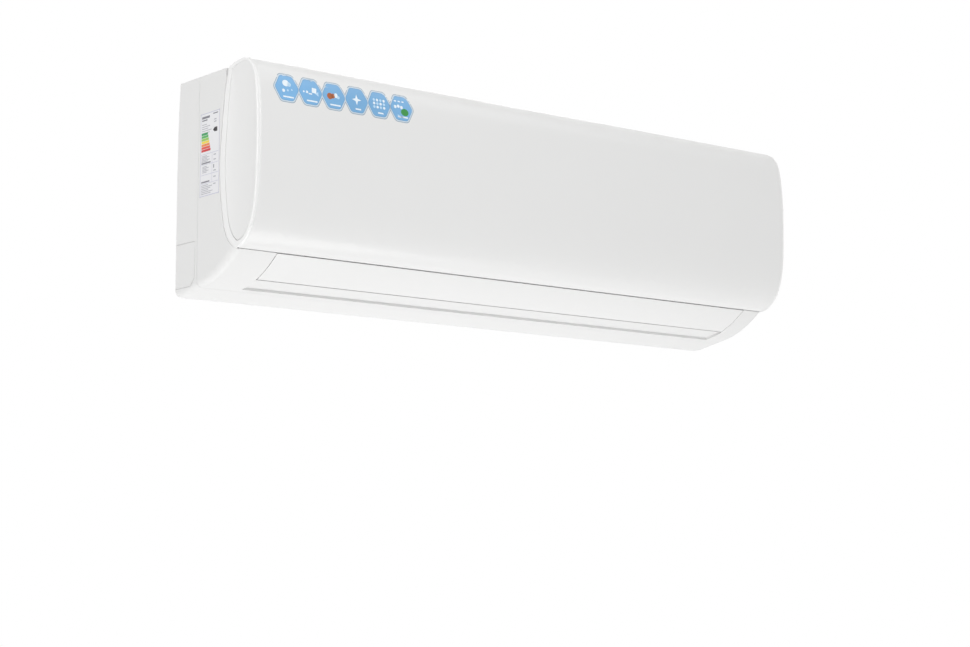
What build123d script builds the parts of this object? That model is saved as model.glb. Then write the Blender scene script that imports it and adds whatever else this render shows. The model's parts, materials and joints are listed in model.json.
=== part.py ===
from build123d import *
import math
import os

# Indoor unit of a wall-mounted mini split air conditioner, in millimetres.
# +X is the viewer's right, the front faces -Y, the wall is the plane Y = 0 and +Z is up.
# The origin is the centre of the wall plate's screw pattern, on the wall.
# Places are given as x from the unit's left side, depth from the wall and height from its underside.

# Driving dimensions of the whole unit
WIDTH = 826.0
CASE_HEIGHT = 246.0  # top of the casing; the front panel stands a little higher
PANEL_RISE = 5.2
PANEL_TOP = CASE_HEIGHT + PANEL_RISE
PANEL_DEPTH = 166.0  # wall to the most forward point of the front panel
WALL = 2.5  # casing wall
BACK_LEAN = 4.0  # the back edges of the sides lean this far forward at the top
SEAM = 45.0  # depth of the joint between rear chassis and front frame
SEAM_GAP = 0.3
CORNER = 8.0  # rounding between the sides and the underside
CLEARANCE = 0.3  # between pieces that sit side by side
RUNNING = 0.05  # radial clearance of a turning pin in its hole

# Underside: level at the wall, then rising on one slope, then swept up to the chin
BELLY_START = 12.0
BELLY_SLOPE = 0.19
BELLY_SWEEP_START = 60.0
BELLY_SWEEP = 0.0048
CHIN_DEPTH = 123.5

# Wall plate
PLATE_WIDTH = 480.0
PLATE_LOW = 72.0
PLATE_HIGH = 206.0
PLATE_SHEET = 1.2
PLATE_CENTRE = 150.0  # height of the middle of the screw pattern
SCREW_SPACING_X = 400.0
SCREW_SPACING_Z = 70.0
SCREW_HOLE_RADIUS = 2.75
HOOK_WIDTH = 40.0
HOOK_SPACING = 180.0
HOOK_REACH = 12.0
HOOK_RISE = 8.0
BACK_WALL = 6.0  # depth of the chassis back wall, ahead of the wall plate

# Cross-flow fan and the scroll round it
FAN_DEPTH = 72.0
FAN_HEIGHT = 96.0
FAN_RADIUS = 41.0
FAN_LEFT = 60.0
FAN_RIGHT = 650.0
FAN_BLADES = 33
FAN_RINGS = 9
SHAFT_RADIUS = 4.0
SCROLL_GAP = 4.0
SCROLL_START = 150.0  # degrees, from straight forward and up over the top
SCROLL_END = 271.0
SCROLL_GROWTH = 0.25  # radius gained for each degree
DUCT_LEFT = 54.0
DUCT_RIGHT = 661.0
SCROLL_RIGHT = 738.0

# Heat exchanger and filters, laid on one slope behind the front panel
FILTER_TOP = 95.0  # depth of the filter slope where it passes the casing top
FILTER_SLOPE = 18.87  # degrees off upright
FILTER_LENGTH = 168.0
FILTER_SHEET = 1.6
FILTER_LEFT = 60.0
FILTER_MIDDLE = 358.0
FILTER_RIGHT = 656.0
FILTER_POST = 5.2
COIL_THICKNESS = 18.0
COIL_LEFT = 58.0
COIL_RIGHT = 656.0
COIL_PLATE = 1.0
COIL_DROP = 16.0  # from the casing top down the slope to the coil
COIL_LENGTH = 142.0
COIL_INSET = 5.0
REAR_COIL_ANGLE = 56.3  # degrees above level
REAR_COIL_CLEAR = 7.0  # from the fan to the rear coil
REAR_COIL_LENGTH = 84.0
TUBE_PITCH = 12.7
TUBE_ROW = 9.0
TUBE_RADIUS = 2.5

# Outlet louver and the upright vanes behind it
OUTLET_LEFT = 54.8
OUTLET_RIGHT = 791.4
LIP_REAR = 53.0
LIP_FRONT = 76.0
LIP_RECESS = 3.0
LOUVER_GAP = 0.8
LOUVER_REAR = 82.5
LOUVER_SHEET = 2.8
LOUVER_DEPTH = 92.0
LOUVER_HEIGHT = 27.5
BRACKET_RING = 3.4
LOUVER_PIN = 2.0
LOUVER_ARM = 2.5
BRACKET_X = 354.0
VANE_COUNT = 12
VANE_PITCH = 49.0
VANE_FIRST = 84.5
VANE_ANGLE = 265.5
VANE_SHEET = 1.2
VANE_PIN = 1.8
BAR_ARM = 7.0
BAR_LEVEL = 8.0
BAR_SIZE = 2.0
CRANK_X = 690.0

# Front panel
PANEL_SHEET = 2.6
PANEL_EDGE = 6.0  # rounding between its face and its ends
PANEL_END = 3.4
CAP_SHEET = 1.8
CAP_RIM = 11.0  # rim of the panel's end behind its cap
CAP_EDGE = 3.0  # and in front of the cap and above it
CAP_GAP = 0.15
CAP_SINK = 0.4  # the cap lies this far below the rim
PANEL_LOW = 45.0
HINGE_DEPTH = 106.0
HINGE_DROP = 3.5  # from the casing top down to the hinge
HINGE_HEIGHT = CASE_HEIGHT - HINGE_DROP
HINGE_PIN = 1.8
HINGE_BOSS = 3.4
HINGE_LUG = 4.0
HINGE_ARM = 2.6
HINGE_X = (30.0, FILTER_MIDDLE, 796.0)
FRAME_TOP_FRONT = 100.5
LUG_FOOT = CASE_HEIGHT - 8.0  # height of the foot of the frame's top edge, where the panel's ends begin
PANEL_GAP = 0.8  # between the panel's ends and the casing behind them

# Electrical box and motors, to the right of the fan
BOX_LEFT = 672.0
BOX_RIGHT = 800.0
BOX_REAR = 52.0
BOX_FRONT = 138.0
BOX_LOW = 146.0
BOX_HIGH = 236.0
BOX_WALL = 2.0
MOTOR_LEFT = 668.0
MOTOR_RIGHT = 732.0
MOTOR_RADIUS = 40.0
MOTOR_BOSS = 11.0
RING_RADIUS = 14.0
COVER_PLATE = 142.0
BUTTON_X = 742.0
BUTTON_HEIGHT = 128.0
BUTTON_RADIUS = 4.0

# Refrigerant pipes and drain
GAS_RADIUS = 4.76
LIQUID_RADIUS = 3.18
PIPE_WALL = 0.8
GAS_DEPTH = 16.0
GAS_HEIGHT = 33.0
LIQUID_DEPTH = 33.0
LIQUID_HEIGHT = 15.0
PIPE_END = 300.0
DRAIN_RADIUS = 8.0
DRAIN_DEPTH = 24.0
DRAIN_HEIGHT = 18.0

# Knock-out pieces low on the chassis sides
KNOCK_LOW = 9.0
KNOCK_HIGH = 59.0
KNOCK_DEPTH = 40.0

SCREW_PLACES = (75.0, 330.0, 585.0)
SCREW_DEPTH = 49.3

os.makedirs("parts", exist_ok=True)


def save(part, name):
    """Label a finished piece and write it."""
    part.label = name
    export_step(part, f"parts/{name}.step")


def place(x, depth, height):
    """A point from its x off the left side, depth from the wall and height above the underside."""
    return (x - WIDTH / 2, -depth, height - PLATE_CENTRE)


def side_plane(x):
    """Plane across the unit: its own x is depth, its own y is height, and it faces left."""
    return Plane(origin=place(x, 0, 0), x_dir=(0, -1, 0), z_dir=(-1, 0, 0))


def outline(x, points):
    """A straight-sided profile, in depth and height, on the plane at x."""
    with BuildSketch(side_plane(x)) as sketch:
        with BuildLine():
            Polyline(*points, close=True)
        make_face()
    return sketch.sketch


def prism(x0, x1, points, mode=Mode.ADD):
    """A straight-sided profile run from x0 to x1."""
    extrude(outline(x1, points), amount=x1 - x0, mode=mode)


def block(x0, x1, d0, d1, z0, z1, mode=Mode.ADD):
    """A box between two planes each way."""
    with Locations(place((x0 + x1) / 2, (d0 + d1) / 2, (z0 + z1) / 2)):
        Box(x1 - x0, d1 - d0, z1 - z0, mode=mode)


def rod(x0, x1, depth, height, radius, mode=Mode.ADD):
    """A round bar along the unit's width."""
    with Locations(Location(place((x0 + x1) / 2, depth, height), (0, 90, 0))):
        Cylinder(radius, x1 - x0, mode=mode)


def peg(x, d0, d1, height, radius, mode=Mode.ADD):
    """A round bar from front to back."""
    with Locations(Location(place(x, (d0 + d1) / 2, height), (90, 0, 0))):
        Cylinder(radius, d1 - d0, mode=mode)


def post(x, depth, z0, z1, radius, mode=Mode.ADD):
    """An upright round bar."""
    with Locations(place(x, depth, (z0 + z1) / 2)):
        Cylinder(radius, z1 - z0, mode=mode)


# ---- curves that several pieces share ----


def belly(depth):
    """Height of the underside at a depth."""
    slope = BELLY_SLOPE * max(depth - BELLY_START, 0)
    return slope + BELLY_SWEEP * max(depth - BELLY_SWEEP_START, 0) ** 2


def belly_curve(d0, d1, lift=0.0):
    """The swept stretch of the underside from d0 to d1, raised by lift."""
    middle = (d0 + d1) / 2
    slope = BELLY_SLOPE + 2 * BELLY_SWEEP * (d0 - BELLY_SWEEP_START)
    control = (middle, belly(d0) + slope * (middle - d0) + lift)
    return Bezier((d0, belly(d0) + lift), control, (d1, belly(d1) + lift))


def scroll_radius(angle):
    """Distance of the scroll wall from the fan's axis."""
    return FAN_RADIUS + SCROLL_GAP + SCROLL_GROWTH * (angle - SCROLL_START)


def scroll_point(angle, outward=0.0):
    """A point on the scroll wall, or that far outside it."""
    radius = scroll_radius(angle) + outward
    turn = math.radians(angle)
    return (FAN_DEPTH + radius * math.cos(turn), FAN_HEIGHT + radius * math.sin(turn))


def scroll_wall(x, thickness):
    """Section of the scroll wall."""
    steps = 7
    angles = [SCROLL_START + (SCROLL_END - SCROLL_START) * i / (steps - 1) for i in range(steps)]
    with BuildSketch(side_plane(x)) as sketch:
        with BuildLine():
            inner = Spline(*[scroll_point(a) for a in angles])
            outer = Spline(*[scroll_point(a, thickness) for a in reversed(angles)])
            Line(inner @ 1, outer @ 0)
            Line(outer @ 1, inner @ 0)
        make_face()
    return sketch.sketch


# The lens-shaped ends of the front panel: rear edge and front edge, from the top down
LENS_TOP = (105.0, PANEL_TOP - 4.2)
LENS_TIP = (123.0, 41.0)
LENS_REAR = ((101.0, PANEL_TOP - 18.2), (93.0, 178.0), (89.5, 140.0), (95.5, 85.0), (104.0, 58.0))
LENS_FRONT = (
    (122.0, PANEL_TOP),
    (140.0, PANEL_TOP - 0.6),
    (155.0, PANEL_TOP - 12.4),
    (162.5, PANEL_TOP - 36.7),
    (PANEL_DEPTH, 165.0),
    (PANEL_DEPTH - 0.6, 128.0),
    (157.0, 71.0),
    (142.5, 49.0),
)


def lens(x):
    """The panel's end outline."""
    with BuildSketch(side_plane(x)) as sketch:
        with BuildLine():
            Spline(LENS_TOP, *LENS_REAR, LENS_TIP)
            Spline(LENS_TIP, *reversed(LENS_FRONT), LENS_TOP)
        make_face()
    return sketch.sketch


def panel_hollow(x):
    """The room inside the panel's front wall, open to the rear."""
    inside = [(d - PANEL_SHEET, z) for d, z in LENS_FRONT[3:7]]
    with BuildSketch(side_plane(x)) as sketch:
        with BuildLine():
            low = (LENS_FRONT[7][0] - 1.8, LENS_FRONT[7][1] + 1.9)
            high = (LENS_FRONT[2][0] - 2.2, LENS_FRONT[2][1] - 1.4)
            crown = (LENS_FRONT[1][0] - 0.9, LENS_FRONT[1][1] - PANEL_SHEET)
            top = (LENS_FRONT[0][0], LENS_FRONT[0][1] - PANEL_SHEET)
            start = (LENS_TOP[0], LENS_TOP[1] - PANEL_SHEET)
            end = (LENS_TIP[0] + 2.0, LENS_TIP[1] + 3.4)
            front = Spline(start, top, crown, high, *inside, low, end)
            Polyline(front @ 1, (CHIN_DEPTH - 50, end[1]), (CHIN_DEPTH - 50, start[1]), front @ 0)
        make_face()
    return sketch.sketch


def lens_behind(x, gap):
    """The panel's end outline moved back towards the wall and down a little."""
    return lens(x).moved(Location((0, gap, -gap / 2)))


def casing_profile(x, inset):
    """Outside of the casing, or with an inset the room inside it, open to the wall and the front."""
    top = CASE_HEIGHT - inset
    lift = inset * 1.12
    with BuildSketch(side_plane(x)) as sketch:
        with BuildLine():
            if inset:
                rear, last = -1.0, CHIN_DEPTH - inset
                back = [(rear, top)]
            else:
                rear, last = BACK_LEAN, CHIN_DEPTH
                back = [(rear, top), (rear * 0.5, top - 27), (rear * 0.16, top - 62), (0, top - 110)]
            Polyline(*back, (min(rear, 0), lift), (BELLY_START, lift))
            Line((BELLY_START, lift), (BELLY_SWEEP_START, belly(BELLY_SWEEP_START) + lift))
            belly_curve(BELLY_SWEEP_START, last, lift)
            if inset:
                reach = PANEL_DEPTH + 10
                Polyline((last, belly(last) + lift), (reach, belly(last) + lift), (reach, top), (rear, top))
            else:
                behind_lens = ((120, 46), (112, 100), (108, LUG_FOOT - 13), (FRAME_TOP_FRONT, LUG_FOOT))
                Polyline((last, belly(last)), *behind_lens, (FRAME_TOP_FRONT, top), (rear, top))
        make_face()
    return sketch.sketch


def underside_edges(part, x_left):
    """The edges where the underside meets the two sides."""
    low = belly(CHIN_DEPTH - 12) - PLATE_CENTRE
    chosen = []
    for edge in part.edges():
        size = edge.bounding_box().size
        at_side = abs(abs(edge.center().X) - (WIDTH / 2 - x_left)) < 0.01
        if at_side and edge.center().Z < low and size.X < 0.01 and size.Y > BELLY_START - 1:
            chosen.append(edge)
    return chosen


# ---- casing: one hollow form, split at the seam into rear chassis and front frame ----

with BuildPart() as casing:
    extrude(casing_profile(WIDTH, 0), amount=WIDTH)
    extrude(lens_behind(WIDTH, PANEL_GAP), amount=WIDTH, mode=Mode.SUBTRACT)
    fillet(underside_edges(casing.part, 0), CORNER)

with BuildPart() as casing_room:
    extrude(casing_profile(WIDTH - WALL, WALL), amount=WIDTH - 2 * WALL)
    fillet(underside_edges(casing_room.part, WALL), CORNER - WALL)


# ---- slopes and small frames of reference ----

SLOPE_SIN = math.sin(math.radians(FILTER_SLOPE))
SLOPE_COS = math.cos(math.radians(FILTER_SLOPE))
FILTER_PLANE = Plane(
    origin=place(WIDTH / 2, FILTER_TOP, CASE_HEIGHT),
    x_dir=(1, 0, 0),
    z_dir=(0, -SLOPE_COS, SLOPE_SIN),
)


def slope_point(down, behind):
    """Depth and height of a point so far down the filter slope and so far behind it."""
    depth = FILTER_TOP + down * SLOPE_SIN - behind * SLOPE_COS
    return (depth, CASE_HEIGHT - down * SLOPE_COS - behind * SLOPE_SIN)


def on_slope(x0, x1, s0, s1, t0, t1, mode=Mode.ADD):
    """A box laid on the filter slope: s runs down it and t goes in behind it."""
    middle = Location(((x0 + x1 - WIDTH) / 2, -(s0 + s1) / 2, -(t0 + t1) / 2))
    with Locations(FILTER_PLANE.location * middle):
        Box(x1 - x0, s1 - s0, t1 - t0, mode=mode)


REAR_UP = (math.cos(math.radians(REAR_COIL_ANGLE)), math.sin(math.radians(REAR_COIL_ANGLE)))
REAR_START = 9.0  # from the foot of the fan's normal up to the rear coil's lower end


def rear_point(up, behind):
    """Depth and height of a point on the rear coil's slope."""
    far = FAN_RADIUS + REAR_COIL_CLEAR + behind
    depth = FAN_DEPTH - far * REAR_UP[1] + (REAR_START + up) * REAR_UP[0]
    return (depth, FAN_HEIGHT + far * REAR_UP[0] + (REAR_START + up) * REAR_UP[1])


# At each vane's pivot: along the scroll wall, and square to it
VANE_RATE = math.degrees(SCROLL_GROWTH)
VANE_TURN = math.radians(VANE_ANGLE)
VANE_R = scroll_radius(VANE_ANGLE)
TANGENT_D = VANE_RATE * math.cos(VANE_TURN) - VANE_R * math.sin(VANE_TURN)
TANGENT_Z = VANE_RATE * math.sin(VANE_TURN) + VANE_R * math.cos(VANE_TURN)
TANGENT_LENGTH = math.hypot(TANGENT_D, TANGENT_Z)
ALONG = (TANGENT_D / TANGENT_LENGTH, TANGENT_Z / TANGENT_LENGTH)
SQUARE = (-ALONG[1], ALONG[0])
VANE_FOOT = scroll_point(VANE_ANGLE)


def vane_plane(x):
    """Plane across the unit at x, its own x along the scroll wall and its y square to it, facing left."""
    return Plane(origin=place(x, *VANE_FOOT), x_dir=(0, -ALONG[0], ALONG[1]), z_dir=(-1, 0, 0))


def vane_box(x0, x1, t0, t1, a0, a1, mode=Mode.ADD):
    """A box lying along the scroll wall (t) and square to it (a)."""
    middle = Location(((t0 + t1) / 2, (a0 + a1) / 2, 0))
    with Locations(vane_plane((x0 + x1) / 2).location * middle):
        Box(t1 - t0, a1 - a0, x1 - x0, mode=mode)


def vane_peg(x, t, a0, a1, radius, mode=Mode.ADD):
    """A round bar square to the scroll wall."""
    middle = Location((t, (a0 + a1) / 2, 0), (90, 0, 0))
    with Locations(vane_plane(x).location * middle):
        Cylinder(radius, a1 - a0, mode=mode)


VANES_X = [VANE_FIRST + VANE_PITCH * i for i in range(VANE_COUNT)]
CRANK_BACK = 2 * BAR_ARM  # the crank's axis is this far behind the vanes' axes
HOOKS_X = [WIDTH / 2 + HOOK_SPACING * i for i in (-1, 0, 1)]
LENS_BAND = 9.0


# ---- wall plate ----

with BuildPart() as mounting_plate:
    middle = WIDTH / 2
    block(middle - PLATE_WIDTH / 2, middle + PLATE_WIDTH / 2, 0, PLATE_SHEET, PLATE_LOW, PLATE_HIGH)
    corners = mounting_plate.edges().filter_by(Axis.Y)
    fillet(corners, 8)
    for x in HOOKS_X:
        left, right = x - HOOK_WIDTH / 2, x + HOOK_WIDTH / 2
        block(left, right, 0, HOOK_REACH, PLATE_HIGH - PLATE_SHEET, PLATE_HIGH)
        lip = (PLATE_HIGH - PLATE_SHEET, PLATE_HIGH + HOOK_RISE - PLATE_SHEET)
        block(left, right, HOOK_REACH - PLATE_SHEET, HOOK_REACH, *lip)
        block(left - 6, right + 6, -1, 3, PLATE_HIGH - 36, PLATE_HIGH - 28, mode=Mode.SUBTRACT)
    for x in (middle - 150, middle + 150):
        block(x - 10, x + 10, 0, BACK_WALL - CLEARANCE, PLATE_LOW, PLATE_LOW + PLATE_SHEET)
    for height in (PLATE_LOW + 20, PLATE_HIGH - 14):
        rib = (middle - PLATE_WIDTH / 2 + 24, middle + PLATE_WIDTH / 2 - 24)
        block(*rib, PLATE_SHEET, PLATE_SHEET + 1.6, height - 3, height + 3)
    window = (middle - 110, middle + 110, -1, 3, PLATE_CENTRE - 22, PLATE_CENTRE + 14)
    block(*window, mode=Mode.SUBTRACT)
    with Locations(Plane(origin=(0, 0, 0), x_dir=(1, 0, 0), z_dir=(0, -1, 0))):
        with GridLocations(SCREW_SPACING_X, SCREW_SPACING_Z, 2, 2):
            Cylinder(SCREW_HOLE_RADIUS, 8, mode=Mode.SUBTRACT)
save(mounting_plate.part, "mounting_plate")


# ---- rear chassis ----

PARTITION_TOP = ((113, 78), (112, 96), (104, 124), (88, 140), (72, 145), (52, 141), (36, 128))
RECESS_ROOF = ((76.6, 35.4), (92, 42.8), (117, 51))
CHANNEL_TOP = 58.0


def partition(x0, x1):
    """An end wall of the air duct."""
    steps = 9
    span = SCROLL_END - SCROLL_START
    wall = [scroll_point(SCROLL_START + span * i / steps, 1.0) for i in range(steps + 1)]
    lower = [(d - 0.4, z + 0.6) for d, z in RECESS_ROOF]
    prism(x0, x1, [*wall, *lower, *PARTITION_TOP])


def knock_out(x, margin):
    """Outline of the knock-out low on a side."""
    with BuildSketch(side_plane(x)) as sketch:
        with BuildLine():
            edge, low, high = KNOCK_DEPTH + margin, KNOCK_LOW - margin, KNOCK_HIGH + margin
            Polyline((-margin, high), (edge, high), (edge, low + 9), (edge - 9, low), (-margin, low), close=True)
        make_face()
    return sketch.sketch


with BuildPart() as rear_chassis:
    add(casing.part)
    add(casing_room.part, mode=Mode.SUBTRACT)
    block(-1, WIDTH + 1, SEAM - SEAM_GAP / 2, PANEL_DEPTH + 9, -9, CASE_HEIGHT + 9, mode=Mode.SUBTRACT)
    top_cut = (CASE_HEIGHT - WALL - CLEARANCE, CASE_HEIGHT + 1)
    block(WALL, WIDTH - WALL, -1, SEAM, *top_cut, mode=Mode.SUBTRACT)
    block(WALL - 1, WIDTH - WALL + 1, BACK_WALL, BACK_WALL + WALL, CHANNEL_TOP, top_cut[0])
    for x in HOOKS_X:
        half = HOOK_WIDTH / 2 + 1
        slot = (PLATE_HIGH - HOOK_RISE, PLATE_HIGH + 0.2)
        block(x - half, x + half, BACK_WALL - 1, BACK_WALL + WALL + 1, *slot, mode=Mode.SUBTRACT)
    # scroll, drip trough under the rear coil, and the closed pipe channel behind the scroll
    scroll_left = DUCT_LEFT - WALL
    extrude(scroll_wall(SCROLL_RIGHT, WALL), amount=SCROLL_RIGHT - scroll_left)
    foot = scroll_point(SCROLL_START)
    outer = scroll_point(SCROLL_START, WALL)
    back = BACK_WALL + WALL - 0.5
    trough = [(back, foot[1] - 5), (outer[0], outer[1] - 2.5), foot, (foot[0] + 0.2, foot[1] + 8.5)]
    trough += [(outer[0] + 0.2, foot[1] + 8.5), (outer[0], outer[1] + 0.4), (back, foot[1] - 2)]
    prism(scroll_left, SCROLL_RIGHT, trough)
    block(scroll_left, SCROLL_RIGHT, back, 20.6, CHANNEL_TOP, CHANNEL_TOP + WALL)
    block(scroll_left, SCROLL_RIGHT, SEAM - SEAM_GAP / 2 - WALL, SEAM - SEAM_GAP / 2, 6.5, 31)
    partition(DUCT_LEFT - WALL, DUCT_LEFT)
    partition(DUCT_RIGHT, DUCT_RIGHT + WALL)
    # cradle for the fan motor
    cradle = [(52, 27), (72, 22), (72, 40), (90, 60), (90, FAN_HEIGHT), (52, FAN_HEIGHT)]
    for x0, x1 in ((DUCT_RIGHT + WALL, MOTOR_LEFT - 1), (MOTOR_RIGHT + 1, MOTOR_RIGHT + 4)):
        prism(x0, x1, cradle)
        rod(x0, x1, FAN_DEPTH, FAN_HEIGHT, RING_RADIUS + RUNNING, mode=Mode.SUBTRACT)
    rod(DUCT_LEFT - WALL - 1, DUCT_LEFT + 1, FAN_DEPTH, FAN_HEIGHT, RING_RADIUS + RUNNING, mode=Mode.SUBTRACT)
    rod(DUCT_RIGHT - 1, DUCT_RIGHT + WALL, FAN_DEPTH, FAN_HEIGHT, MOTOR_BOSS + 2, mode=Mode.SUBTRACT)
    # way for the vanes' tie bar, pin holes and the posts of the swing motor
    bar_way = (-BAR_ARM - 3, -BAR_ARM + 3, BAR_LEVEL - 2.5, BAR_LEVEL + 2.5)
    vane_box(DUCT_RIGHT - 1, MOTOR_LEFT, *bar_way, mode=Mode.SUBTRACT)
    for x in VANES_X:
        vane_peg(x, 0, -WALL - 2, 2, VANE_PIN + RUNNING, mode=Mode.SUBTRACT)
    for x in (CRANK_X - 16, CRANK_X + 16):
        vane_peg(x, -CRANK_BACK, -1, 12, 3)
    # screw bosses for the front frame and shelves under the electrical box
    for x in SCREW_PLACES:
        post(x, SCREW_DEPTH, 13.4, 27, 3.6)
        post(x, SCREW_DEPTH, 13, 24, 1.3, mode=Mode.SUBTRACT)
    shelf = BOX_LOW - CLEARANCE
    arm = [(back, shelf - 20), (back, BOX_HIGH - 10), (20, BOX_HIGH - 10), (BOX_REAR - 0.3, shelf + 40)]
    arm += [(BOX_REAR - 0.3, shelf), (105, shelf), (105, shelf - 4), (40, shelf - 6)]
    for x in (780.0, 792.0):
        prism(x, x + 3, arm)
    for x in (0, WIDTH - WALL):
        extrude(knock_out(x + WALL + 1, CLEARANCE), amount=WALL + 2, mode=Mode.SUBTRACT)
save(rear_chassis.part, "rear_chassis")

for name, x in (("pipe_cover_left", 0.0), ("pipe_cover_right", WIDTH - WALL)):
    with BuildPart() as pipe_cover:
        extrude(knock_out(x + WALL, 0), amount=WALL)
        block(x - 1, x + WALL + 1, -2, 0, -9, 99, mode=Mode.SUBTRACT)
    save(pipe_cover.part, name)

with BuildPart() as pipe_holder:
    reach = GAS_DEPTH - GAS_RADIUS - CLEARANCE
    clip = [(3, 3.1), (5, 3.1), (5, GAS_HEIGHT - 4), (reach, GAS_HEIGHT - 2), (reach, GAS_HEIGHT + 2)]
    clip += [(5, GAS_HEIGHT + 4), (5, CHANNEL_TOP + 12), (3, CHANNEL_TOP + 12)]
    prism(400, 430, clip)
    block(408, 422, 5, BACK_WALL, CHANNEL_TOP + 4, CHANNEL_TOP + 8)
save(pipe_holder.part, "pipe_holder")


# ---- front frame ----

RAIL = 2.0  # thickness of the rails and grid that hold the filters
FILTER_GAP = 0.4
RAIL_IN = FILTER_SHEET / 2 + FILTER_GAP
POST_LEFT = FILTER_MIDDLE - FILTER_POST / 2
POST_RIGHT = FILTER_MIDDLE + FILTER_POST / 2
FRAME_SIDE = 4.2  # gap left for the panel's ends
FRAME_TOP_REAR = 4.0
APRON_FACE = (
    (122.6, 43.6),
    (122.6, 46.4),
    (125.8, 49.4),
    (134.0, 57.5),
    (147.0, 72.0),
    (150.6, 84.0),
)
APRON_BACK = (
    (148.4, 84.6),
    (144.9, 73.4),
    (132.2, 59.0),
    (123.6, 49.2),
    (118.5, 46.8),
    (118.5, 43.3),
)
ROOF = (
    (95, CASE_HEIGHT - 2.4),
    (99.5, CASE_HEIGHT - 2.4),
    (99.5, CASE_HEIGHT - 5.1),
    (144, CASE_HEIGHT - 8),
    (144, CASE_HEIGHT - 9.8),
    (95, CASE_HEIGHT - 6.8),
)
DIVIDER = (
    slope_point(6.2, 0.5),
    (144, CASE_HEIGHT - 9.5),
    (144, 101),
    slope_point(148.3, COIL_INSET + 0.2),
)


def lens_band(x0, x1):
    """A strip just behind the panel's rear edge, which carries the frame inwards past the panel's ends."""
    strip = lens(x1).moved(Location((0, LENS_BAND, 0))) - lens_behind(x1, PANEL_GAP)
    extrude(strip, amount=x1 - x0)


def inner_side(x0, x1):
    """Side wall of the frame behind the panel."""
    rear = [(d - LENS_BAND, z) for d, z in reversed(LENS_REAR)]
    slope_top, slope_low = slope_point(9, -RAIL_IN - RAIL), slope_point(FILTER_LENGTH, -RAIL_IN - RAIL)
    face = reversed(APRON_FACE[1:-1])
    prism(x0, x1, [slope_top, slope_low, *face, (118, 44), (113.5, 44), *rear])


def recess_side(x0, x1):
    """End wall of the recess that the louver closes."""
    low = [(d, belly(d) + 0.5) for d in (LIP_REAR, 64, LIP_FRONT, 88, 100, 112, 122)]
    high = [(120, 46.4), *reversed(RECESS_ROOF), (76.6, 22), (73.5, 17.6), (LIP_REAR, 12.5)]
    prism(x0, x1, [*low, *high])


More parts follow.
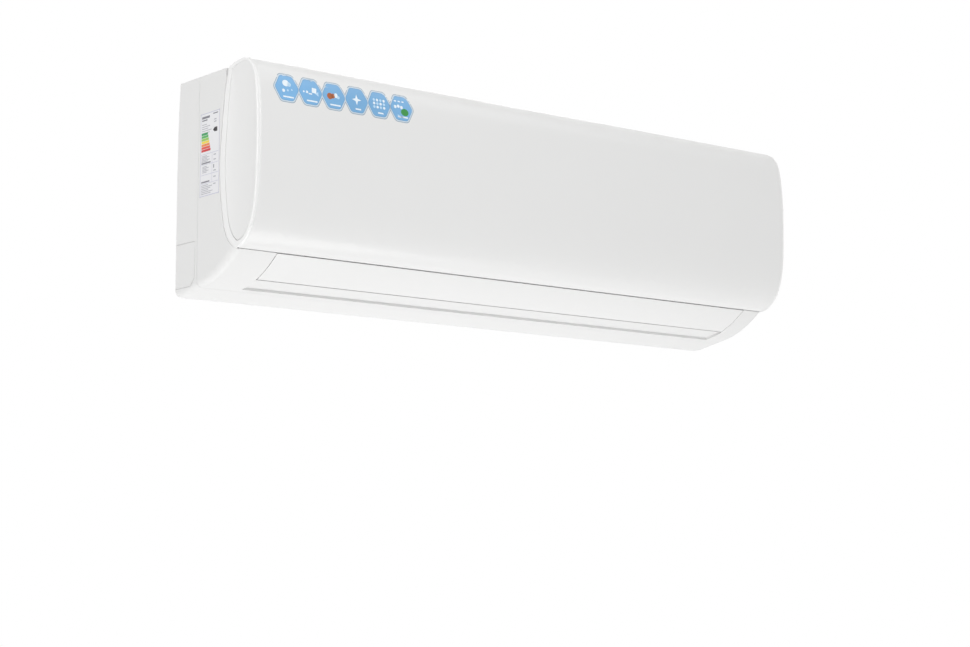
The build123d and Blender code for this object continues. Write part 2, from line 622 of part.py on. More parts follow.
with BuildPart() as front_frame:
    add(casing.part)
    add(casing_room.part, mode=Mode.SUBTRACT)
    block(-1, WIDTH + 1, -1, SEAM + SEAM_GAP / 2, -9, CASE_HEIGHT + 9, mode=Mode.SUBTRACT)
    ceiling = (CASE_HEIGHT - WALL, CASE_HEIGHT)
    block(WALL + CLEARANCE, WIDTH - WALL - CLEARANCE, FRAME_TOP_REAR, SEAM + 5, *ceiling)
    # the outlet, with the recessed lip behind it, its end walls and the blank floor on the right
    mouth = [(LIP_REAR, -2), (LIP_REAR, 14), (LIP_FRONT, 22), (122, 47), (130, 47), (130, -2)]
    prism(OUTLET_LEFT, OUTLET_RIGHT, mouth, mode=Mode.SUBTRACT)
    lip = [(LIP_REAR - 2, belly(LIP_REAR - 2) + 0.6), (LIP_REAR, belly(LIP_REAR) + 0.2)]
    lip += [(LIP_REAR + 0.2, belly(LIP_REAR) + LIP_RECESS), (LIP_FRONT, belly(LIP_FRONT) + LIP_RECESS)]
    lip += [(LIP_FRONT - 0.2, belly(LIP_FRONT) + LIP_RECESS + 1.5), (LIP_REAR - 2, 12.4)]
    prism(OUTLET_LEFT - WALL, OUTLET_RIGHT + WALL, lip)
    recess_side(OUTLET_LEFT - WALL, OUTLET_LEFT)
    recess_side(OUTLET_RIGHT, OUTLET_RIGHT + WALL)
    floor = [(76.6, 18), *RECESS_ROOF, (117, 53.2), (91.4, 45), (74.7, 37), (74.7, 21.2), (75.7, 17.8)]
    prism(DUCT_RIGHT + WALL + CLEARANCE, OUTLET_RIGHT + 1, floor)
    prism(FRAME_SIDE, WIDTH - FRAME_SIDE, [*APRON_FACE, *APRON_BACK])
    # sides behind the panel's ends
    lens_band(WALL - 1, FRAME_SIDE + WALL)
    lens_band(WIDTH - FRAME_SIDE - WALL, WIDTH - WALL + 1)
    block(-1, WIDTH + 1, FRAME_TOP_FRONT, PANEL_DEPTH, LUG_FOOT - 12, CASE_HEIGHT + 9, mode=Mode.SUBTRACT)
    block(-1, WIDTH + 1, 0, PANEL_DEPTH, CASE_HEIGHT, CASE_HEIGHT + 9, mode=Mode.SUBTRACT)
    inner_side(FRAME_SIDE, FRAME_SIDE + WALL)
    inner_side(WIDTH - FRAME_SIDE - WALL, WIDTH - FRAME_SIDE)
    # filter grid: a sheet on the filter slope with rows of windows, and the rails in front of it
    on_slope(FRAME_SIDE + 1, DUCT_RIGHT + WALL, 3, FILTER_LENGTH + 4, RAIL_IN, RAIL_IN + RAIL)
    bay = (POST_LEFT - FILTER_LEFT - 6) / 5
    rows = (FILTER_LENGTH - 20) / 4
    for start in (FILTER_LEFT + 5, POST_RIGHT + 5):
        for column in range(5):
            for row in range(4):
                x, down = start + bay * column, 14 + rows * row
                window = (x, x + bay - 4, down, down + rows - 4)
                on_slope(*window, RAIL_IN - 1, RAIL_IN + RAIL + 1, mode=Mode.SUBTRACT)
    front_rail = (-RAIL_IN - RAIL, -RAIL_IN)
    rails = ((FILTER_LEFT - 6, FILTER_LEFT + 4), (POST_LEFT - 4, POST_RIGHT + 4), (FILTER_RIGHT - 4, DUCT_RIGHT))
    for x0, x1 in rails:
        on_slope(x0, x1, 7, FILTER_LENGTH + 2, *front_rail)
    posts = ((FILTER_LEFT - 6, FILTER_LEFT - FILTER_GAP), (POST_LEFT, POST_RIGHT))
    for x0, x1 in (*posts, (FILTER_RIGHT + FILTER_GAP, DUCT_RIGHT)):
        on_slope(x0, x1, 3, FILTER_LENGTH + 2, -RAIL_IN, RAIL_IN)
    on_slope(FILTER_LEFT - 6, DUCT_RIGHT, FILTER_LENGTH + FILTER_GAP, FILTER_LENGTH + 4, -RAIL_IN - RAIL, RAIL_IN)
    # cover ahead of the electrical box
    prism(DUCT_RIGHT, WIDTH - FRAME_SIDE - 1, ROOF)
    block(DUCT_RIGHT, WIDTH - FRAME_SIDE - 1, COVER_PLATE, COVER_PLATE + 2, 68, CASE_HEIGHT - 9)
    prism(DUCT_RIGHT, DUCT_RIGHT + WALL, DIVIDER)
    block(700, 786, COVER_PLATE - 1, COVER_PLATE + 3, 165, 220, mode=Mode.SUBTRACT)
    peg(BUTTON_X, COVER_PLATE - 1, COVER_PLATE + 3, BUTTON_HEIGHT, BUTTON_RADIUS + RUNNING * 2, mode=Mode.SUBTRACT)
    # hinge lugs
    lug = [(95.5, CASE_HEIGHT - 0.1), (HINGE_DEPTH, HINGE_HEIGHT + HINGE_BOSS)]
    lug += [(HINGE_DEPTH + 1, HINGE_HEIGHT - HINGE_BOSS + 0.2)]
    lug += [(98.5, CASE_HEIGHT - 9), (95.5, CASE_HEIGHT - 7)]
    for x in HINGE_X:
        block(x - 6.5, x + 6.5, FRAME_TOP_FRONT + 0.1, 114.5, LUG_FOOT + 0.5, CASE_HEIGHT - 1, mode=Mode.SUBTRACT)
        prism(x - HINGE_LUG / 2, x + HINGE_LUG / 2, lug)
        rod(x - HINGE_LUG / 2, x + HINGE_LUG / 2, HINGE_DEPTH, HINGE_HEIGHT, HINGE_BOSS)
    for x in HINGE_X:
        rod(x - 4, x + 4, HINGE_DEPTH, HINGE_HEIGHT, HINGE_PIN + RUNNING, mode=Mode.SUBTRACT)
    # intake grille in the top, and the filters' slots
    columns, lanes = 10, 5
    step_x, step_d = (FILTER_RIGHT - FILTER_LEFT) / columns, 15.6
    with Locations(place((FILTER_LEFT + FILTER_RIGHT) / 2, 51, CASE_HEIGHT)):
        with GridLocations(step_x, step_d, columns, lanes):
            Box(step_x - 4, step_d - 3, 9, mode=Mode.SUBTRACT)
    for x0, x1 in ((FILTER_LEFT, POST_LEFT), (POST_RIGHT, FILTER_RIGHT)):
        on_slope(x0 - FILTER_GAP, x1 + FILTER_GAP, -3, 4, -RAIL_IN, RAIL_IN, mode=Mode.SUBTRACT)
    # louver pin holes and the screw bosses
    rod(OUTLET_LEFT - 9, OUTLET_LEFT + 1, LOUVER_DEPTH, LOUVER_HEIGHT, LOUVER_PIN + RUNNING, mode=Mode.SUBTRACT)
    rod(OUTLET_RIGHT - 1, OUTLET_RIGHT + 9, LOUVER_DEPTH, LOUVER_HEIGHT, LOUVER_PIN + RUNNING, mode=Mode.SUBTRACT)
    for x in SCREW_PLACES:
        post(x, SCREW_DEPTH, 8.5, 13, 3.6)
    for x in SCREW_PLACES:
        post(x, SCREW_DEPTH, 0, 10.5, 3, mode=Mode.SUBTRACT)
        post(x, SCREW_DEPTH, 0, 16, 1.8, mode=Mode.SUBTRACT)
        pocket = [(45.9, 0), (52.5, 0), (52.5, belly(52.5) + 0.9), (45.9, belly(45.9) + 0.9)]
        prism(x - 7.2, x + 7.2, pocket, mode=Mode.SUBTRACT)
save(front_frame.part, "front_frame")

with BuildPart() as frame_screws:
    for x in SCREW_PLACES:
        post(x, SCREW_DEPTH, 8.9, 10.5, 2.8)
        post(x, SCREW_DEPTH, 10.5, 23, 1.25)
save(frame_screws.part, "frame_screws")

with BuildPart() as screw_caps:
    for x in SCREW_PLACES:
        cap = [(46.1, belly(46.1)), (52.3, belly(52.3)), (52.3, belly(52.3) + 0.8), (46.1, belly(46.1) + 0.8)]
        prism(x - 7, x + 7, cap)
save(screw_caps.part, "screw_caps")


# ---- drain pan, heat exchanger and pipes ----

PAN_LEFT = DUCT_LEFT + 0.5
PAN_RIGHT = DUCT_RIGHT - 0.5
PAN = (
    (112.6, 76.6),
    (114, 84),
    (142.4, 84),
    (142.4, 88),
    (144.4, 88),
    (144.4, 74),
    (128, 63),
    (119.5, 54),
    (117.2, 52.2),
    (114, 62),
)
PAN_TROUGH = ((116.5, 90), (117, 76.5), (142.4, 74.5), (142.4, 90))

with BuildPart() as drain_pan:
    prism(PAN_LEFT, PAN_RIGHT, PAN)
    prism(PAN_LEFT + WALL, PAN_RIGHT - WALL, PAN_TROUGH, mode=Mode.SUBTRACT)
    # bracket that carries the middle of the louver
    bracket = [(LOUVER_DEPTH - 2.4, LOUVER_HEIGHT + 2.4), (LOUVER_DEPTH + 2.4, LOUVER_HEIGHT - 2.4)]
    bracket += [(117.5, 53), (114, 63)]
    prism(BRACKET_X - 1, BRACKET_X + 1, bracket)
    rod(BRACKET_X - 1, BRACKET_X + 1, LOUVER_DEPTH, LOUVER_HEIGHT, BRACKET_RING)
    rod(BRACKET_X - 2, BRACKET_X + 2, LOUVER_DEPTH, LOUVER_HEIGHT, LOUVER_PIN + RUNNING, mode=Mode.SUBTRACT)
    rod(PAN_LEFT - 8, PAN_LEFT, 130, 75, 5)
    rod(PAN_LEFT - 11, PAN_LEFT + WALL + 1, 130, 75, 3.6, mode=Mode.SUBTRACT)
save(drain_pan.part, "drain_pan")

with BuildPart() as drain_elbow:
    corner_x = 36.0
    route = [
        place(PAN_LEFT - 3, 130, 75),
        place(corner_x, 130, 75),
        place(corner_x, DRAIN_DEPTH, DRAIN_HEIGHT),
        place(corner_x + 42, DRAIN_DEPTH, DRAIN_HEIGHT),
    ]
    with BuildLine():
        path = FilletPolyline(*route, radius=10)
    with BuildSketch(Plane(origin=path @ 0, z_dir=path % 0)):
        Circle(DRAIN_RADIUS)
    sweep(path=path)
    with BuildSketch(Plane(origin=path @ 0, z_dir=path % 0)):
        Circle(5 + RUNNING)
    sweep(path=path, mode=Mode.SUBTRACT)
save(drain_elbow.part, "drain_elbow")

FRONT_SLAB = (
    slope_point(COIL_DROP, COIL_INSET),
    slope_point(COIL_DROP + COIL_LENGTH, COIL_INSET),
    slope_point(COIL_DROP + COIL_LENGTH, COIL_INSET + COIL_THICKNESS),
    slope_point(COIL_DROP, COIL_INSET + COIL_THICKNESS),
)
REAR_SLAB = (
    rear_point(0, 0),
    rear_point(REAR_COIL_LENGTH, 0),
    rear_point(REAR_COIL_LENGTH, COIL_THICKNESS),
    rear_point(0, COIL_THICKNESS),
)
ROWS = [COIL_THICKNESS / 2 - TUBE_ROW / 2, COIL_THICKNESS / 2 + TUBE_ROW / 2]


def tube_places(length, point):
    """Where the tubes cross a slab, row by row: pairs that a return bend joins."""
    count = int((length - TUBE_PITCH / 2) // TUBE_PITCH) // 2
    start = (length - (2 * count - 1) * TUBE_PITCH) / 2
    for row in ROWS:
        for i in range(count):
            first = start + 2 * i * TUBE_PITCH
            yield point(first, row), point(first + TUBE_PITCH, row)


def front_tube(down, behind):
    """A tube's place in the front coil."""
    return slope_point(COIL_DROP + down, COIL_INSET + behind)


def return_bend(x, first, second, outward):
    """A half turn of tube standing off the coil's end plate."""
    middle = place(x, (first[0] + second[0]) / 2, (first[1] + second[1]) / 2)
    spread = (0, first[0] - second[0], second[1] - first[1])
    normal = Vector(*spread).cross(Vector(outward, 0, 0)).normalized()
    with Locations(Plane(origin=middle, x_dir=spread, z_dir=normal).location):
        Torus(TUBE_PITCH / 2, TUBE_RADIUS, major_angle=180, align=None)


for name, slab in (("coil_front", FRONT_SLAB), ("coil_rear", REAR_SLAB)):
    with BuildPart() as coil:
        prism(COIL_LEFT, COIL_RIGHT, slab)
    save(coil.part, name)

for name, x in (("coil_plate_left", COIL_LEFT - COIL_PLATE), ("coil_plate_right", COIL_RIGHT)):
    with BuildPart() as coil_plate:
        edge = COIL_THICKNESS - 2
        join = [front_tube(24, edge), front_tube(60, edge)]
        prism(x, x + COIL_PLATE, FRONT_SLAB)
        prism(x, x + COIL_PLATE, REAR_SLAB)
        prism(x, x + COIL_PLATE, [*join, rear_point(REAR_COIL_LENGTH - 30, 2), rear_point(REAR_COIL_LENGTH - 2, 2)])
    save(coil_plate.part, name)

with BuildPart() as coil_bends:
    for x, outward in ((COIL_LEFT - COIL_PLATE, -1), (COIL_RIGHT + COIL_PLATE, 1)):
        for first, second in [*tube_places(COIL_LENGTH, front_tube), *tube_places(REAR_COIL_LENGTH, rear_point)]:
            return_bend(x, first, second, outward)
save(coil_bends.part, "coil_bends")

PIPE_START = COIL_RIGHT + COIL_PLATE
GAS_START = rear_point(29.3, COIL_THICKNESS / 2)
LIQUID_START = rear_point(4.5, COIL_THICKNESS / 2)
GAS_ROUTE = [
    (PIPE_START, *GAS_START),
    (702, *GAS_START),
    (752, GAS_DEPTH, 130),
    (752, GAS_DEPTH, GAS_HEIGHT),
    (PIPE_END, GAS_DEPTH, GAS_HEIGHT),
]
LIQUID_ROUTE = [
    (PIPE_START, *LIQUID_START),
    (702, *LIQUID_START),
    (768, LIQUID_DEPTH, 125),
    (768, LIQUID_DEPTH, LIQUID_HEIGHT),
    (PIPE_END + 40, LIQUID_DEPTH, LIQUID_HEIGHT),
]
for name, route, radius in (("gas_pipe", GAS_ROUTE, GAS_RADIUS), ("liquid_pipe", LIQUID_ROUTE, LIQUID_RADIUS)):
    with BuildPart() as pipe:
        with BuildLine():
            path = FilletPolyline(*[place(*point) for point in route], radius=12)
        with BuildSketch(Plane(origin=path @ 0, z_dir=path % 0)):
            Circle(radius)
        sweep(path=path)
        with BuildSketch(Plane(origin=path @ 0, z_dir=path % 0)):
            Circle(radius - PIPE_WALL)
        sweep(path=path, mode=Mode.SUBTRACT)
    save(pipe.part, name)

UNIONS = (
    ("gas_union", PIPE_END, GAS_DEPTH, GAS_HEIGHT, GAS_RADIUS, 7.94, 18.0),
    ("liquid_union", PIPE_END + 40, LIQUID_DEPTH, LIQUID_HEIGHT, LIQUID_RADIUS, 5.56, 14.0),
)
for name, x, depth, height, pipe_radius, thread_radius, across in UNIONS:
    with BuildPart() as union:
        with BuildSketch(side_plane(x + 6)):
            with Locations((depth, height)):
                RegularPolygon(across / 2, 6, major_radius=False)
        extrude(amount=9)
        rod(x - 17, x - 3, depth, height, thread_radius)
        rod(x - 4, x + 7, depth, height, pipe_radius, mode=Mode.SUBTRACT)
        rod(x - 18, x - 3, depth, height, pipe_radius - PIPE_WALL, mode=Mode.SUBTRACT)
    save(union.part, name)


# ---- fan, its motor and bearing ----


def fan_plane(x):
    """Plane square to the fan's axis."""
    return Plane(origin=place(x, FAN_DEPTH, FAN_HEIGHT), x_dir=(0, -1, 0), z_dir=(-1, 0, 0))


BLADE_ROOT = FAN_RADIUS - 10.0
BLADE_TIP = FAN_RADIUS - 0.3
BLADE_SHEET = 0.9
DISC = 2.0

with BuildSketch() as blade:
    with BuildLine():
        lean = math.radians(11)
        middle = (BLADE_ROOT + BLADE_TIP) / 2
        tip = Vector(BLADE_TIP * math.cos(lean), BLADE_TIP * math.sin(lean))
        waist = Vector(middle * math.cos(lean / 4), middle * math.sin(lean / 4))
        under = Vector(0, -BLADE_SHEET)
        upper = ThreePointArc((BLADE_ROOT, 0), waist, tip)
        lower = ThreePointArc(tip + under, waist + under, (BLADE_ROOT, -BLADE_SHEET))
        Line(upper @ 1, lower @ 0)
        Line(lower @ 1, upper @ 0)
    make_face()

with BuildPart() as cross_flow_fan:
    with BuildSketch(fan_plane(FAN_RIGHT)):
        with PolarLocations(0, FAN_BLADES):
            add(blade.sketch)
    extrude(amount=FAN_RIGHT - FAN_LEFT)
    step = (FAN_RIGHT - FAN_LEFT - DISC) / (FAN_RINGS + 1)
    for i in range(FAN_RINGS):
        x = FAN_LEFT + step * (i + 1) + DISC
        with BuildSketch(fan_plane(x)):
            Circle(FAN_RADIUS)
            Circle(BLADE_ROOT - 1, mode=Mode.SUBTRACT)
        extrude(amount=DISC)
    rod(FAN_LEFT, FAN_LEFT + DISC, FAN_DEPTH, FAN_HEIGHT, FAN_RADIUS)
    rod(FAN_RIGHT - DISC, FAN_RIGHT, FAN_DEPTH, FAN_HEIGHT, FAN_RADIUS)
    rod(FAN_LEFT, FAN_LEFT + 14, FAN_DEPTH, FAN_HEIGHT, 8)
    rod(FAN_RIGHT - 22, FAN_RIGHT + 4, FAN_DEPTH, FAN_HEIGHT, 11)
    rod(FAN_LEFT - 1, FAN_LEFT + 12, FAN_DEPTH, FAN_HEIGHT, SHAFT_RADIUS, mode=Mode.SUBTRACT)
    rod(FAN_RIGHT - 20, FAN_RIGHT + 5, FAN_DEPTH, FAN_HEIGHT, SHAFT_RADIUS, mode=Mode.SUBTRACT)
save(cross_flow_fan.part, "cross_flow_fan")

with BuildPart() as fan_shafts:
    rod(FAN_LEFT - 12, FAN_LEFT + 12, FAN_DEPTH, FAN_HEIGHT, SHAFT_RADIUS)
    rod(FAN_RIGHT - 20, MOTOR_LEFT + 30, FAN_DEPTH, FAN_HEIGHT, SHAFT_RADIUS)
save(fan_shafts.part, "fan_shafts")

with BuildPart() as fan_bearing:
    rod(DUCT_LEFT - 7, DUCT_LEFT, FAN_DEPTH, FAN_HEIGHT, 8)
    rod(DUCT_LEFT - 8, DUCT_LEFT + 1, FAN_DEPTH, FAN_HEIGHT, SHAFT_RADIUS + RUNNING, mode=Mode.SUBTRACT)
save(fan_bearing.part, "fan_bearing")

with BuildPart() as bearing_holder:
    rod(DUCT_LEFT - 7, DUCT_LEFT, FAN_DEPTH, FAN_HEIGHT, RING_RADIUS)
    rod(DUCT_LEFT - 7, DUCT_LEFT - WALL - 0.2, FAN_DEPTH, FAN_HEIGHT, RING_RADIUS + 2)
    rod(DUCT_LEFT - 8, DUCT_LEFT + 1, FAN_DEPTH, FAN_HEIGHT, 8, mode=Mode.SUBTRACT)
save(bearing_holder.part, "bearing_holder")

with BuildPart() as fan_motor:
    rod(MOTOR_LEFT, MOTOR_RIGHT, FAN_DEPTH, FAN_HEIGHT, MOTOR_RADIUS)
    fillet(fan_motor.edges().filter_by(GeomType.CIRCLE), 6)
    rod(MOTOR_LEFT - 4.2, MOTOR_RIGHT + 4.5, FAN_DEPTH, FAN_HEIGHT, MOTOR_BOSS)
    rod(MOTOR_LEFT - 5, MOTOR_LEFT + 32, FAN_DEPTH, FAN_HEIGHT, SHAFT_RADIUS + RUNNING, mode=Mode.SUBTRACT)
save(fan_motor.part, "fan_motor")

with BuildPart() as motor_rings:
    for x0, x1 in ((MOTOR_LEFT - 4, MOTOR_LEFT - 1), (MOTOR_RIGHT + 1, MOTOR_RIGHT + 4)):
        rod(x0, x1, FAN_DEPTH, FAN_HEIGHT, RING_RADIUS)
        rod(x0 - 1, x1 + 1, FAN_DEPTH, FAN_HEIGHT, MOTOR_BOSS, mode=Mode.SUBTRACT)
save(motor_rings.part, "motor_rings")

with BuildPart() as motor_cover:
    seat = FAN_HEIGHT + CLEARANCE
    arch = [(52, seat), (90, seat), (90, 112), (84, 141), (60, 141), (52, 112)]
    for x0, x1 in ((MOTOR_LEFT - 4, MOTOR_LEFT - 1), (MOTOR_RIGHT + 1, MOTOR_RIGHT + 4)):
        prism(x0, x1, arch)
        rod(x0, x1, FAN_DEPTH, FAN_HEIGHT, RING_RADIUS + RUNNING, mode=Mode.SUBTRACT)
    block(MOTOR_LEFT - 4, MOTOR_RIGHT + 4, 60, 84, 138.2, 141)
    block(MOTOR_LEFT + 20, MOTOR_LEFT + 34, 64, 80, 141, BOX_LOW - CLEARANCE)
save(motor_cover.part, "motor_cover")


# ---- electrical box and what it holds ----

BOARD_SHEET = 1.6
BOARD_SCREW = 1.2
BOARD_FRONT = BOX_REAR + 15.6
BOARD_CORNERS = [
    (x, height) for x in (BOX_LEFT + 12, BOX_RIGHT - 12) for height in (BOX_LOW + 12, BOX_HIGH - 12)
]

with BuildPart() as control_box:
    block(BOX_LEFT, BOX_RIGHT, BOX_REAR, BOX_FRONT - 2, BOX_LOW, BOX_HIGH)
    room = (BOX_LOW + BOX_WALL, BOX_HIGH - BOX_WALL)
    block(BOX_LEFT + BOX_WALL, BOX_RIGHT - BOX_WALL, BOX_REAR + BOX_WALL, BOX_FRONT, *room, mode=Mode.SUBTRACT)
    for x, height in BOARD_CORNERS:
        peg(x, BOX_REAR + BOX_WALL - 0.5, BOARD_FRONT - BOARD_SHEET, height, 3)
        peg(x, BOX_REAR + BOX_WALL + 2, BOARD_FRONT, height, BOARD_SCREW + RUNNING, mode=Mode.SUBTRACT)
save(control_box.part, "control_box")

with BuildPart() as control_box_cover:
    block(BOX_LEFT, BOX_RIGHT, BOX_FRONT - 2, BOX_FRONT, BOX_LOW, BOX_HIGH)
    inside = (BOX_LEFT + BOX_WALL + 0.2, BOX_RIGHT - BOX_WALL - 0.2, BOX_FRONT - 8, BOX_FRONT - 2)
    block(*inside, BOX_LOW + BOX_WALL + 0.2, BOX_HIGH - BOX_WALL - 0.2)
    hollow = (BOX_LEFT + 4, BOX_RIGHT - 4, BOX_FRONT - 9, BOX_FRONT - 2)
    block(*hollow, BOX_LOW + 4, BOX_HIGH - 4, mode=Mode.SUBTRACT)
save(control_box_cover.part, "control_box_cover")

with BuildPart() as control_board:
    block(BOX_LEFT + 4, BOX_RIGHT - 4, BOARD_FRONT - BOARD_SHEET, BOARD_FRONT, BOX_LOW + 4, BOX_HIGH - 4)
    for x, height in BOARD_CORNERS:
        peg(x, BOARD_FRONT - 2, BOARD_FRONT + 1, height, BOARD_SCREW + 0.3, mode=Mode.SUBTRACT)
save(control_board.part, "control_board")

with BuildPart() as board_screws:
    for x, height in BOARD_CORNERS:
        peg(x, BOX_REAR + BOX_WALL + 4, BOARD_FRONT, height, BOARD_SCREW)
        peg(x, BOARD_FRONT, BOARD_FRONT + 1.4, height, 2.6)
save(board_screws.part, "board_screws")

with BuildPart() as board_parts:
    block(BOX_LEFT + 18, BOX_LEFT + 50, BOARD_FRONT, BOARD_FRONT + 30, BOX_LOW + 10, BOX_LOW + 42)
    block(BOX_LEFT + 18, BOX_LEFT + 32, BOARD_FRONT, BOARD_FRONT + 16, BOX_LOW + 52, BOX_LOW + 80)
    block(BOX_LEFT + 34, BOX_LEFT + 60, BOARD_FRONT, BOARD_FRONT + 12, BOX_LOW + 56, BOX_LOW + 76)
    block(BOX_LEFT + 70, BOX_LEFT + 110, BOARD_FRONT, BOARD_FRONT + 3, BOX_LOW + 50, BOX_LOW + 62)
    peg(BOX_LEFT + 62, BOARD_FRONT, BOARD_FRONT + 34, BOX_LOW + 26, 11)
    for i in range(4):
        x = BOX_LEFT + 74 + 10 * i
        block(x, x + 7, BOARD_FRONT, BOARD_FRONT + 9, BOX_LOW + 8, BOX_LOW + 16)
    peg(BOX_LEFT + 88, BOARD_FRONT, BOARD_FRONT + 20, BOX_LOW + 34, 7)
    peg(BOX_LEFT + 106, BOARD_FRONT, BOARD_FRONT + 14, BOX_LOW + 34, 5)
save(board_parts.part, "board_parts")

with BuildPart() as terminal_block:
    block(BOX_RIGHT + CLEARANCE, BOX_RIGHT + 13, 60, 112, 158, 190)
    for i in range(4):
        for depth in (70.0, 102.0):
            with Locations(Location(place(BOX_RIGHT + 13, depth, 163 + 7.4 * i), (0, 90, 0))):
                Cylinder(2.6, 3, mode=Mode.SUBTRACT)
save(terminal_block.part, "terminal_block")

with BuildPart() as cable_clamp:
    block(BOX_RIGHT + CLEARANCE, BOX_RIGHT + 12, 72, 98, 149, 154)
    rod(BOX_RIGHT - 1, BOX_RIGHT + 13, 85, 149, 4, mode=Mode.SUBTRACT)
save(cable_clamp.part, "cable_clamp")

with BuildPart() as display_board:
    front = COVER_PLATE + 2
    block(690, 790, front + CLEARANCE, front + 1.9, 84, 112)
    block(700, 752, front + 1.9, front + 5.5, 90, 106)
    block(762, 774, front + 1.9, front + 6.5, 93, 103)
save(display_board.part, "display_board")

with BuildPart() as room_sensor:
    front = COVER_PLATE + 2
    block(668, 680, front + CLEARANCE, front + 3, 150, 158)
    rod(666, 690, front + 5.4, 154, 2.6)
save(room_sensor.part, "room_sensor")

with BuildPart() as pipe_sensor:
    spot = front_tube(COIL_LENGTH - 6, COIL_THICKNESS - 5)
    rod(PIPE_START, PIPE_START + 3.4, *spot, 2.4)
save(pipe_sensor.part, "pipe_sensor")


# ---- small motors ----

with BuildPart() as swing_motor:
    vane_peg(CRANK_X, -CRANK_BACK, 12.2, 26, 12)
    vane_box(CRANK_X - 19, CRANK_X + 19, -CRANK_BACK - 3.5, -CRANK_BACK + 3.5, 12.2, 13.4)
    vane_peg(CRANK_X, -CRANK_BACK, 12, 18, 2 + RUNNING, mode=Mode.SUBTRACT)
save(swing_motor.part, "swing_motor")

with BuildPart() as louver_motor:
    start = OUTLET_RIGHT + WALL + CLEARANCE
    rod(start + 2, start + 18, LOUVER_DEPTH - 6, LOUVER_HEIGHT + 11, 12)
    case = [(LOUVER_DEPTH + 1.5, LOUVER_HEIGHT - 2.6), (LOUVER_DEPTH + 4.5, LOUVER_HEIGHT + 0.5)]
    case += [(LOUVER_DEPTH + 8, LOUVER_HEIGHT + 20), (76, 48), (76, 26)]
    prism(start, start + 2, case)
    rod(start - 1, start + 9, LOUVER_DEPTH, LOUVER_HEIGHT, LOUVER_PIN + RUNNING, mode=Mode.SUBTRACT)
save(louver_motor.part, "louver_motor")


# ---- louver, vanes, tie bar and crank ----

LOUVER_LEFT = OUTLET_LEFT + LOUVER_GAP
LOUVER_RIGHT = OUTLET_RIGHT - LOUVER_GAP
LOUVER_FRONT = CHIN_DEPTH - 0.6

with BuildPart() as main_louver:
    with BuildSketch(side_plane(LOUVER_RIGHT)):
        with BuildLine():
            outer = belly_curve(LOUVER_REAR, LOUVER_FRONT)
            inner = belly_curve(LOUVER_REAR + 1, LOUVER_FRONT - 1.6, LOUVER_SHEET)
            Line(outer @ 0, inner @ 0)
            Line(outer @ 1, inner @ 1)
        make_face()
    extrude(amount=LOUVER_RIGHT - LOUVER_LEFT)
    seat_d = (LOUVER_DEPTH - 6, LOUVER_DEPTH + 8)
    ear = [(d, belly(d) + LOUVER_SHEET - 0.6) for d in seat_d]
    ear += [(LOUVER_DEPTH + 3.5, LOUVER_HEIGHT + 2), (LOUVER_DEPTH - 3.5, LOUVER_HEIGHT + 2)]
    ears = [
        (LOUVER_LEFT, LOUVER_LEFT + LOUVER_ARM),
        (BRACKET_X - 1.4 - LOUVER_ARM, BRACKET_X - 1.4),
        (BRACKET_X + 1.4, BRACKET_X + 1.4 + LOUVER_ARM),
        (LOUVER_RIGHT - LOUVER_ARM, LOUVER_RIGHT),
    ]
    for x0, x1 in ears:
        prism(x0, x1, ear)
        rod(x0, x1, LOUVER_DEPTH, LOUVER_HEIGHT, 4)
    rod(OUTLET_LEFT - WALL, LOUVER_LEFT, LOUVER_DEPTH, LOUVER_HEIGHT, LOUVER_PIN)
    rod(BRACKET_X - 1.4, BRACKET_X + 1.4, LOUVER_DEPTH, LOUVER_HEIGHT, LOUVER_PIN)
    rod(LOUVER_RIGHT, OUTLET_RIGHT + WALL + 8, LOUVER_DEPTH, LOUVER_HEIGHT, LOUVER_PIN)
save(main_louver.part, "main_louver")

VANE_REAR = -10.0
VANE_FRONT = 5.0
BAR_HALF = BAR_SIZE / 2
for number, x in enumerate(VANES_X, 1):
    with BuildPart() as vane:
        with BuildSketch(vane_plane(x - VANE_SHEET / 2)):
            with BuildLine():
                Polyline((VANE_REAR, 1.5), (VANE_FRONT, 1.5), (VANE_FRONT, 32), (VANE_REAR, 27), close=True)
            make_face()
        extrude(amount=-VANE_SHEET)
        slot = (VANE_REAR - 1, -3.4, BAR_LEVEL - BAR_HALF - 0.4, BAR_LEVEL + BAR_HALF + 0.4)
        vane_box(x - 2, x + 2, *slot, mode=Mode.SUBTRACT)
        vane_peg(x, 0, 0.3, 1.5, 3)
        vane_peg(x, 0, -WALL - 0.4, 0.3, VANE_PIN)
    save(vane.part, f"vane_{number}")

PAD = 3.6
PIN_SLOT = 1.6
with BuildPart() as tie_bar:
    size = (-BAR_ARM - BAR_HALF, -BAR_ARM + BAR_HALF, BAR_LEVEL - BAR_HALF, BAR_LEVEL + BAR_HALF)
    vane_box(VANES_X[0] - 8, CRANK_X, *size)
    vane_box(CRANK_X - 5, CRANK_X + 5, -BAR_ARM - PAD, -BAR_ARM + PAD, *size[2:])
    vane_box(CRANK_X - PIN_SLOT, CRANK_X + PIN_SLOT, -BAR_ARM - 2.8, -BAR_ARM + 1.6, 6, 10, mode=Mode.SUBTRACT)
save(tie_bar.part, "tie_bar")

with BuildPart() as swing_crank:
    vane_peg(CRANK_X, -CRANK_BACK, 9.6, 11.4, 4)
    vane_box(CRANK_X - 2.4, CRANK_X + 2.4, -CRANK_BACK, -BAR_ARM + 1.5, 9.6, 11.4)
    vane_peg(CRANK_X, -BAR_ARM, 6.8, 9.6, 1.2)
    vane_peg(CRANK_X, -CRANK_BACK, 11.4, 17, 2)
save(swing_crank.part, "swing_crank")


# ---- front panel and its end caps ----


